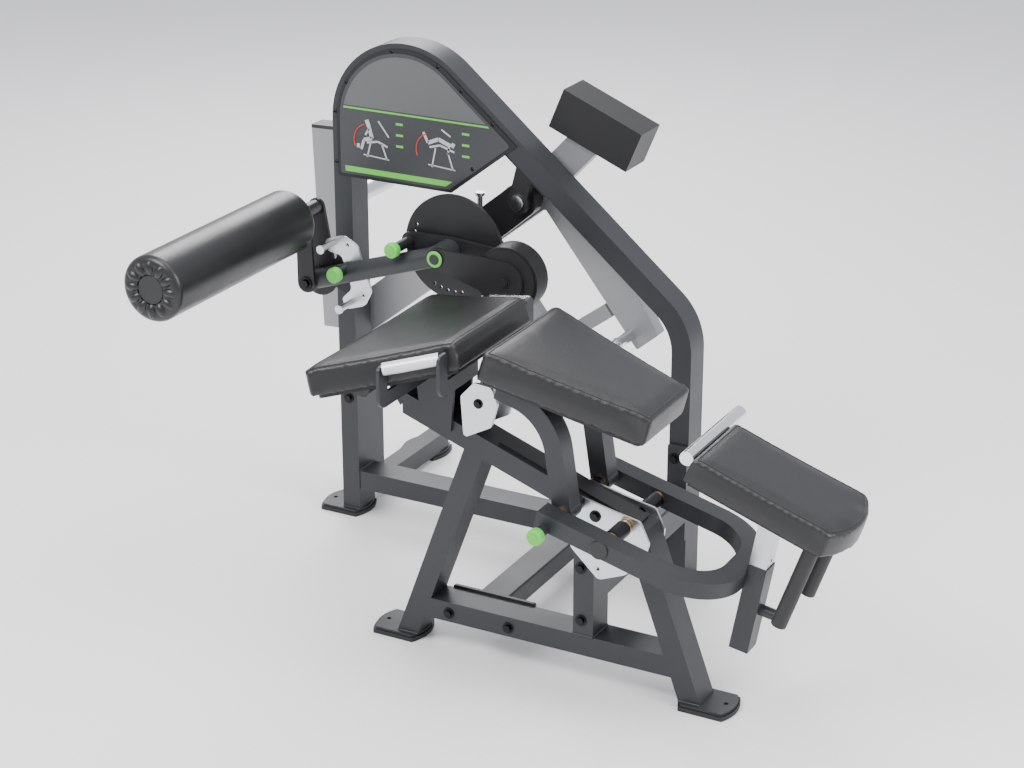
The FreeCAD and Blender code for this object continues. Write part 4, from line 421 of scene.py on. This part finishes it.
def art_band(name, low, high, inset, material):
    """A printed band that follows the placard's outline between two heights."""
    levels = [low + (high - low) * i / BAND_STEPS for i in range(BAND_STEPS + 1)]
    right = [(art_right(z) - inset, z) for z in levels]
    left = [(art_left(z) + inset, z) for z in reversed(levels)]
    flat_plate(name, right + left, PLACARD_FACE, INK, material)


def art_strokes(name, strokes, scale, corner, material):
    """Short straight marks of a line pictogram, each (x0, z0, x1, z1, width) in its own square."""
    mesh = bmesh.new()
    y = PLACARD_FACE - INK - 0.0001
    for x0, z0, x1, z1, width in strokes:
        length = hypot(x1 - x0, z1 - z0)
        nx = -(z1 - z0) / length * width / 2
        nz = (x1 - x0) / length * width / 2
        quad = ((x0 + nx, z0 + nz), (x0 - nx, z0 - nz), (x1 - nx, z1 - nz), (x1 + nx, z1 + nz))
        verts = [mesh.verts.new((corner[0] + a * scale, y, corner[1] + b * scale)) for a, b in quad]
        face = mesh.faces.new(verts)
        extruded = bmesh.ops.extrude_face_region(mesh, geom=[face])
        moved = [item for item in extruded["geom"] if isinstance(item, bmesh.types.BMVert)]
        bmesh.ops.translate(mesh, verts=moved, vec=(0, -0.0003, 0))
    bmesh.ops.recalc_face_normals(mesh, faces=mesh.faces)
    data = bpy.data.meshes.new(name)
    mesh.to_mesh(data)
    mesh.free()
    add_object(name, data, material)


SEATED = ((0.30, 0.95, 0.36, 0.80, 0.11), (0.36, 0.80, 0.44, 0.52, 0.10), (0.44, 0.52, 0.22, 0.46, 0.09),
          (0.22, 0.46, 0.14, 0.22, 0.07), (0.36, 0.74, 0.26, 0.58, 0.05), (0.30, 0.40, 0.60, 0.46, 0.05),
          (0.60, 0.46, 0.86, 0.36, 0.05), (0.40, 0.40, 0.30, 0.05, 0.04), (0.70, 0.42, 0.84, 0.05, 0.04),
          (0.20, 0.10, 0.90, 0.05, 0.03), (0.62, 0.96, 0.90, 0.60, 0.04), (0.02, 0.30, 0.10, 0.30, 0.10))
PRONE = ((0.86, 0.66, 0.94, 0.62, 0.11), (0.84, 0.62, 0.52, 0.74, 0.10), (0.52, 0.74, 0.24, 0.62, 0.09),
         (0.24, 0.62, 0.12, 0.86, 0.07), (0.80, 0.58, 0.76, 0.40, 0.05), (0.28, 0.52, 0.56, 0.60, 0.05),
         (0.56, 0.60, 0.94, 0.48, 0.05), (0.44, 0.52, 0.34, 0.05, 0.04), (0.76, 0.46, 0.90, 0.05, 0.04),
         (0.24, 0.10, 0.96, 0.05, 0.03), (0.60, 0.98, 0.84, 0.84, 0.04))


def swing_mark(name, centre):
    """A red arc that shows the way the legs swing."""
    radius = 0.045
    first, last = 110, 200
    y = PLACARD_FACE - INK
    points = []
    for i in range(MARK_STEPS + 1):
        turn = radians(first + (last - first) * i / MARK_STEPS)
        points.append((centre[0] + radius * cos(turn), y, centre[1] + radius * sin(turn)))
    tube_along(name, points, 0.0016, "placard_red")


def placard_art():
    art_band("placard_top_field", 1.116, ARCH_CENTRE[1] + ART_RADIUS - 0.001, 0.0, "placard_light")
    art_band("placard_line", 1.108, 1.1125, 0.0, "placard_green")
    art_band("placard_stripe", 0.946, 0.960, 0.004, "placard_green")
    art_strokes("sketch_seated", SEATED, SKETCH_SIZE, (0.045, 0.985), "placard_line")
    art_strokes("sketch_prone", PRONE, SKETCH_SIZE, (0.225, 0.985), "placard_line")
    swing_mark("swing_mark_seated", (0.085, 1.03))
    swing_mark("swing_mark_prone", (0.262, 1.03))
    rows = []
    for start in (0.16, 0.345):
        for step in range(3):
            rows.append((start, 1.085 - 0.028 * step, start + 0.02, 1.085 - 0.028 * step, 0.006))
    art_strokes("colour_keys", rows, 1.0, (0, 0), "placard_green")


# ---------------------------------------------------------------- roller end
def roller_flutes():
    """The gathered skin around the roller's end cap: rounded petals."""
    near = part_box("roller_foam")[0][1]
    mesh = bmesh.new()
    for petal in range(PETALS):
        turn = 2 * pi * petal / PETALS
        middle = Vector((ROLLER_AXIS.x + PETAL_CIRCLE * cos(turn), near + PETAL_DEPTH,
                         ROLLER_AXIS.z + PETAL_CIRCLE * sin(turn)))
        place = Matrix.Translation(middle) @ Matrix.Rotation(-turn, 4, "Y")
        made = bmesh.ops.create_uvsphere(mesh, u_segments=20, v_segments=12, radius=1.0)
        bmesh.ops.transform(mesh, matrix=place @ Matrix.Diagonal((*PETAL_SIZE, 1)),
                            verts=made["verts"])
    data = bpy.data.meshes.new("roller_petals")
    for face in mesh.faces:
        face.smooth = True
    mesh.to_mesh(data)
    mesh.free()
    add_object("roller_petals", data, "roller_skin", "roller")


# ---------------------------------------------------------------- small trim
def disc_at(name, axis, y, radius, thickness, material, body):
    """A round cap that faces the user."""
    points = []
    for i in range(48):
        turn = 2 * pi * i / 48
        points.append((axis[0] + radius * cos(turn), axis[1] + radius * sin(turn)))
    obj = flat_plate(name, points, y, thickness, material, body)
    bevel = obj.modifiers.new("edge_round", "BEVEL")
    bevel.width = min(0.0015, thickness * 0.4)
    bevel.segments = 2
    bevel.limit_method = "ANGLE"
    return obj


def knee_cap():
    """The green ring and dark plug on the knee shaft's end."""
    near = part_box("drive_shaft")[0][1]
    axis = (LEVER_AXIS.x, LEVER_AXIS.z)
    disc_at("knee_cap_ring", axis, near, 0.0205, CAP_THICK, "green_plastic", "drive")
    disc_at("knee_cap_plug", axis, near - CAP_THICK, 0.0130, BUTTON_THICK, "black_plastic", "drive")


def rest_cap():
    """The dark plug over the near end of the head rest frame's pivot."""
    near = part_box("bench_and_rest_shafts")[0][1]
    disc_at("rest_cap", (REST_AXIS.x, REST_AXIS.z), near, 0.0215, CAP_THICK, "black_plastic", "frame")


def pin_buttons():
    """A small raised button on each pull pin's knob."""
    for node, body in (("start_pin", "start_pull_pin"), ("roller_arm_pin", "roller_arm_pull_pin"),
                       ("rest_pin", "rest_pull_pin")):
        low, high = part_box(node)
        axis = ((low[0] + high[0]) / 2, (low[2] + high[2]) / 2)
        disc_at(node + "_button", axis, low[1], 0.009, BUTTON_THICK, "green_plastic", body)


def weld_bead(name, start, end):
    """A rippled fillet weld between two points of the frame."""
    start = Vector(start)
    end = Vector(end)
    steps = max(6, int((end - start).length / WELD_RIPPLE))
    points = [start.lerp(end, i / steps) for i in range(steps + 1)]
    tube_along(name, points, WELD_RADIUS, "powder_graphite", resolution=3, ripple=0.82)


def frame_welds():
    """Fillet welds where the rails and posts meet their neighbours."""
    low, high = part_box("arch_rail")
    for x in (low[0], high[0]):
        weld_bead("weld_arch_rail_%d" % (x * 1000), (x, low[1], low[2]), (x, low[1], high[2]))
        weld_bead("weld_arch_top_%d" % (x * 1000), (x, low[1], high[2]), (x, high[1], high[2]))
    low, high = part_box("short_post")
    for x in (low[0], high[0]):
        weld_bead("weld_post_%d" % (x * 1000), (x, low[1], low[2]), (x, high[1], low[2]))
    weld_bead("weld_post_front", (low[0], low[1], low[2]), (high[0], low[1], low[2]))
    plate_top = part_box("base_plates")[1][2]
    low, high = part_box("arch_tube")
    for x in (low[0], high[0] - TUBE_FACE):
        weld_bead("weld_foot_%d" % (x * 1000), (x, low[1], plate_top), (x + TUBE_FACE, low[1], plate_top))
    for name in ("seat_rear_leg", "seat_front_leg"):
        low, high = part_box(name)
        x = low[0] if name == "seat_rear_leg" else high[0] - LEG_FACE
        weld_bead("weld_" + name, (x, low[1], plate_top), (x + LEG_FACE, low[1], plate_top))


def top_outline(mesh, normal):
    """The pad's top outline: the corners of its top face in order round their middle."""
    top = max((face for face in mesh.polygons if face.normal.dot(normal) > 0.999), key=lambda face: face.area)
    level = mesh.vertices[top.vertices[0]].co.dot(normal)
    corners = []
    for vertex in mesh.vertices:
        if abs(vertex.co.dot(normal) - level) < 1e-4:
            corners.append(vertex.co.copy())
    middle = sum(corners, Vector()) / len(corners)
    side = Vector((0, 1, 0))
    along = side.cross(normal)
    corners.sort(key=lambda place: atan2((place - middle).dot(side), (place - middle).dot(along)))
    return corners, middle


def pad_seam(node, cover, body):
    """The sewn seam between a pad's top panel and its side band, laid on the cover."""
    normal = pad_normal(NODES[node].data)
    corners, middle = top_outline(NODES[node].data, normal)
    sides = []
    for i, corner in enumerate(corners):
        ahead = corners[(i + 1) % len(corners)]
        if (ahead - corner).length > 1e-4:
            inward = normal.cross((ahead - corner).normalized())
            if inward.dot(middle - corner) < 0:
                inward = -inward
            sides.append((corner, ahead, inward))
    ring = []
    for corner, ahead, inward in sides:
        steps = max(1, int((ahead - corner).length / 0.006))
        for step in range(steps):
            place = corner.lerp(ahead, (step + 0.5) / steps) + inward * SEAM_INSET
            nearest = min((place - other).dot(across) for other, _, across in sides)
            hit, surface, _, _ = cover.ray_cast(place + normal * 0.05, -normal)
            if hit and nearest > SEAM_INSET - 0.0006:
                ring.append(surface)
    tube_along(node + "_seam", ring, SEAM_RADIUS, "seam_thread", body, cyclic=True)


# ---------------------------------------------------------------- studio
def area_light(name, place, target, size, power):
    data = bpy.data.lights.new(name, "AREA")
    data.shape = "DISK"
    data.size = size
    data.energy = power
    light = bpy.data.objects.new(name, data)
    light.location = place
    light.rotation_euler = (Vector(target) - Vector(place)).to_track_quat("-Z", "Y").to_euler()
    bpy.context.scene.collection.objects.link(light)


def studio():
    middle = (0.5, -0.3, 0.6)
    area_light("key_light", (-0.8, -3.4, 4.2), middle, 2.4, 210)
    area_light("side_light", (4.2, -0.6, 2.8), middle, 2.2, 120)
    area_light("back_light", (-1.8, 3.2, 3.4), middle, 2.6, 150)
    area_light("top_light", (0.6, -0.3, 4.4), middle, 3.0, 90)
    mesh = bpy.data.meshes.new("floor")
    far = FLOOR_REACH
    mesh.from_pydata([(-far, -far, 0), (far, -far, 0), (far, far, 0), (-far, far, 0)], [],
                     [(0, 1, 2, 3)])
    floor = bpy.data.objects.new("floor", mesh)
    floor.location.z = -0.0004
    bpy.context.scene.collection.objects.link(floor)
    mat, tree, shader = new_material("pale_floor", (0.86, 0.86, 0.86), 0.0, 0.7)
    add_bump(tree, shader, object_noise(tree, 40, 2.0).outputs["Fac"], 0.02, 0.0005)
    mesh.materials.append(mat)
    world = bpy.data.worlds.new("studio")
    world.use_nodes = True
    background = world.node_tree.nodes["Background"]
    background.inputs["Color"].default_value = (0.93, 0.95, 1.0, 1)
    background.inputs["Strength"].default_value = 1.05
    bpy.context.scene.world = world


def camera():
    data = bpy.data.cameras.new("camera")
    data.lens = CAMERA_LENS
    data.sensor_width = 36
    data.clip_end = 60
    cam = bpy.data.objects.new("camera", data)
    cam.location = CAMERA_PLACE
    cam.rotation_euler = [radians(turn) for turn in CAMERA_TURN]
    bpy.context.scene.collection.objects.link(cam)
    bpy.context.scene.camera = cam


# ---------------------------------------------------------------- build
paint_frame()
soften(TUBES, TUBE_EDGE, 3)
soften(PLATES, PLATE_EDGE, 2)
for pad, pad_body, cap in (("seat_cushion", "frame", 0.007), ("bench_cushion", "frame", 0.007),
                           ("head_cushion", "head", 0.006)):
    cover = puff_pad(pad, pad_body, cap)
    pad_seam(pad, cover, pad_body)
placard_art()
roller_flutes()
knee_cap()
rest_cap()
pin_buttons()
frame_welds()
studio()
camera()
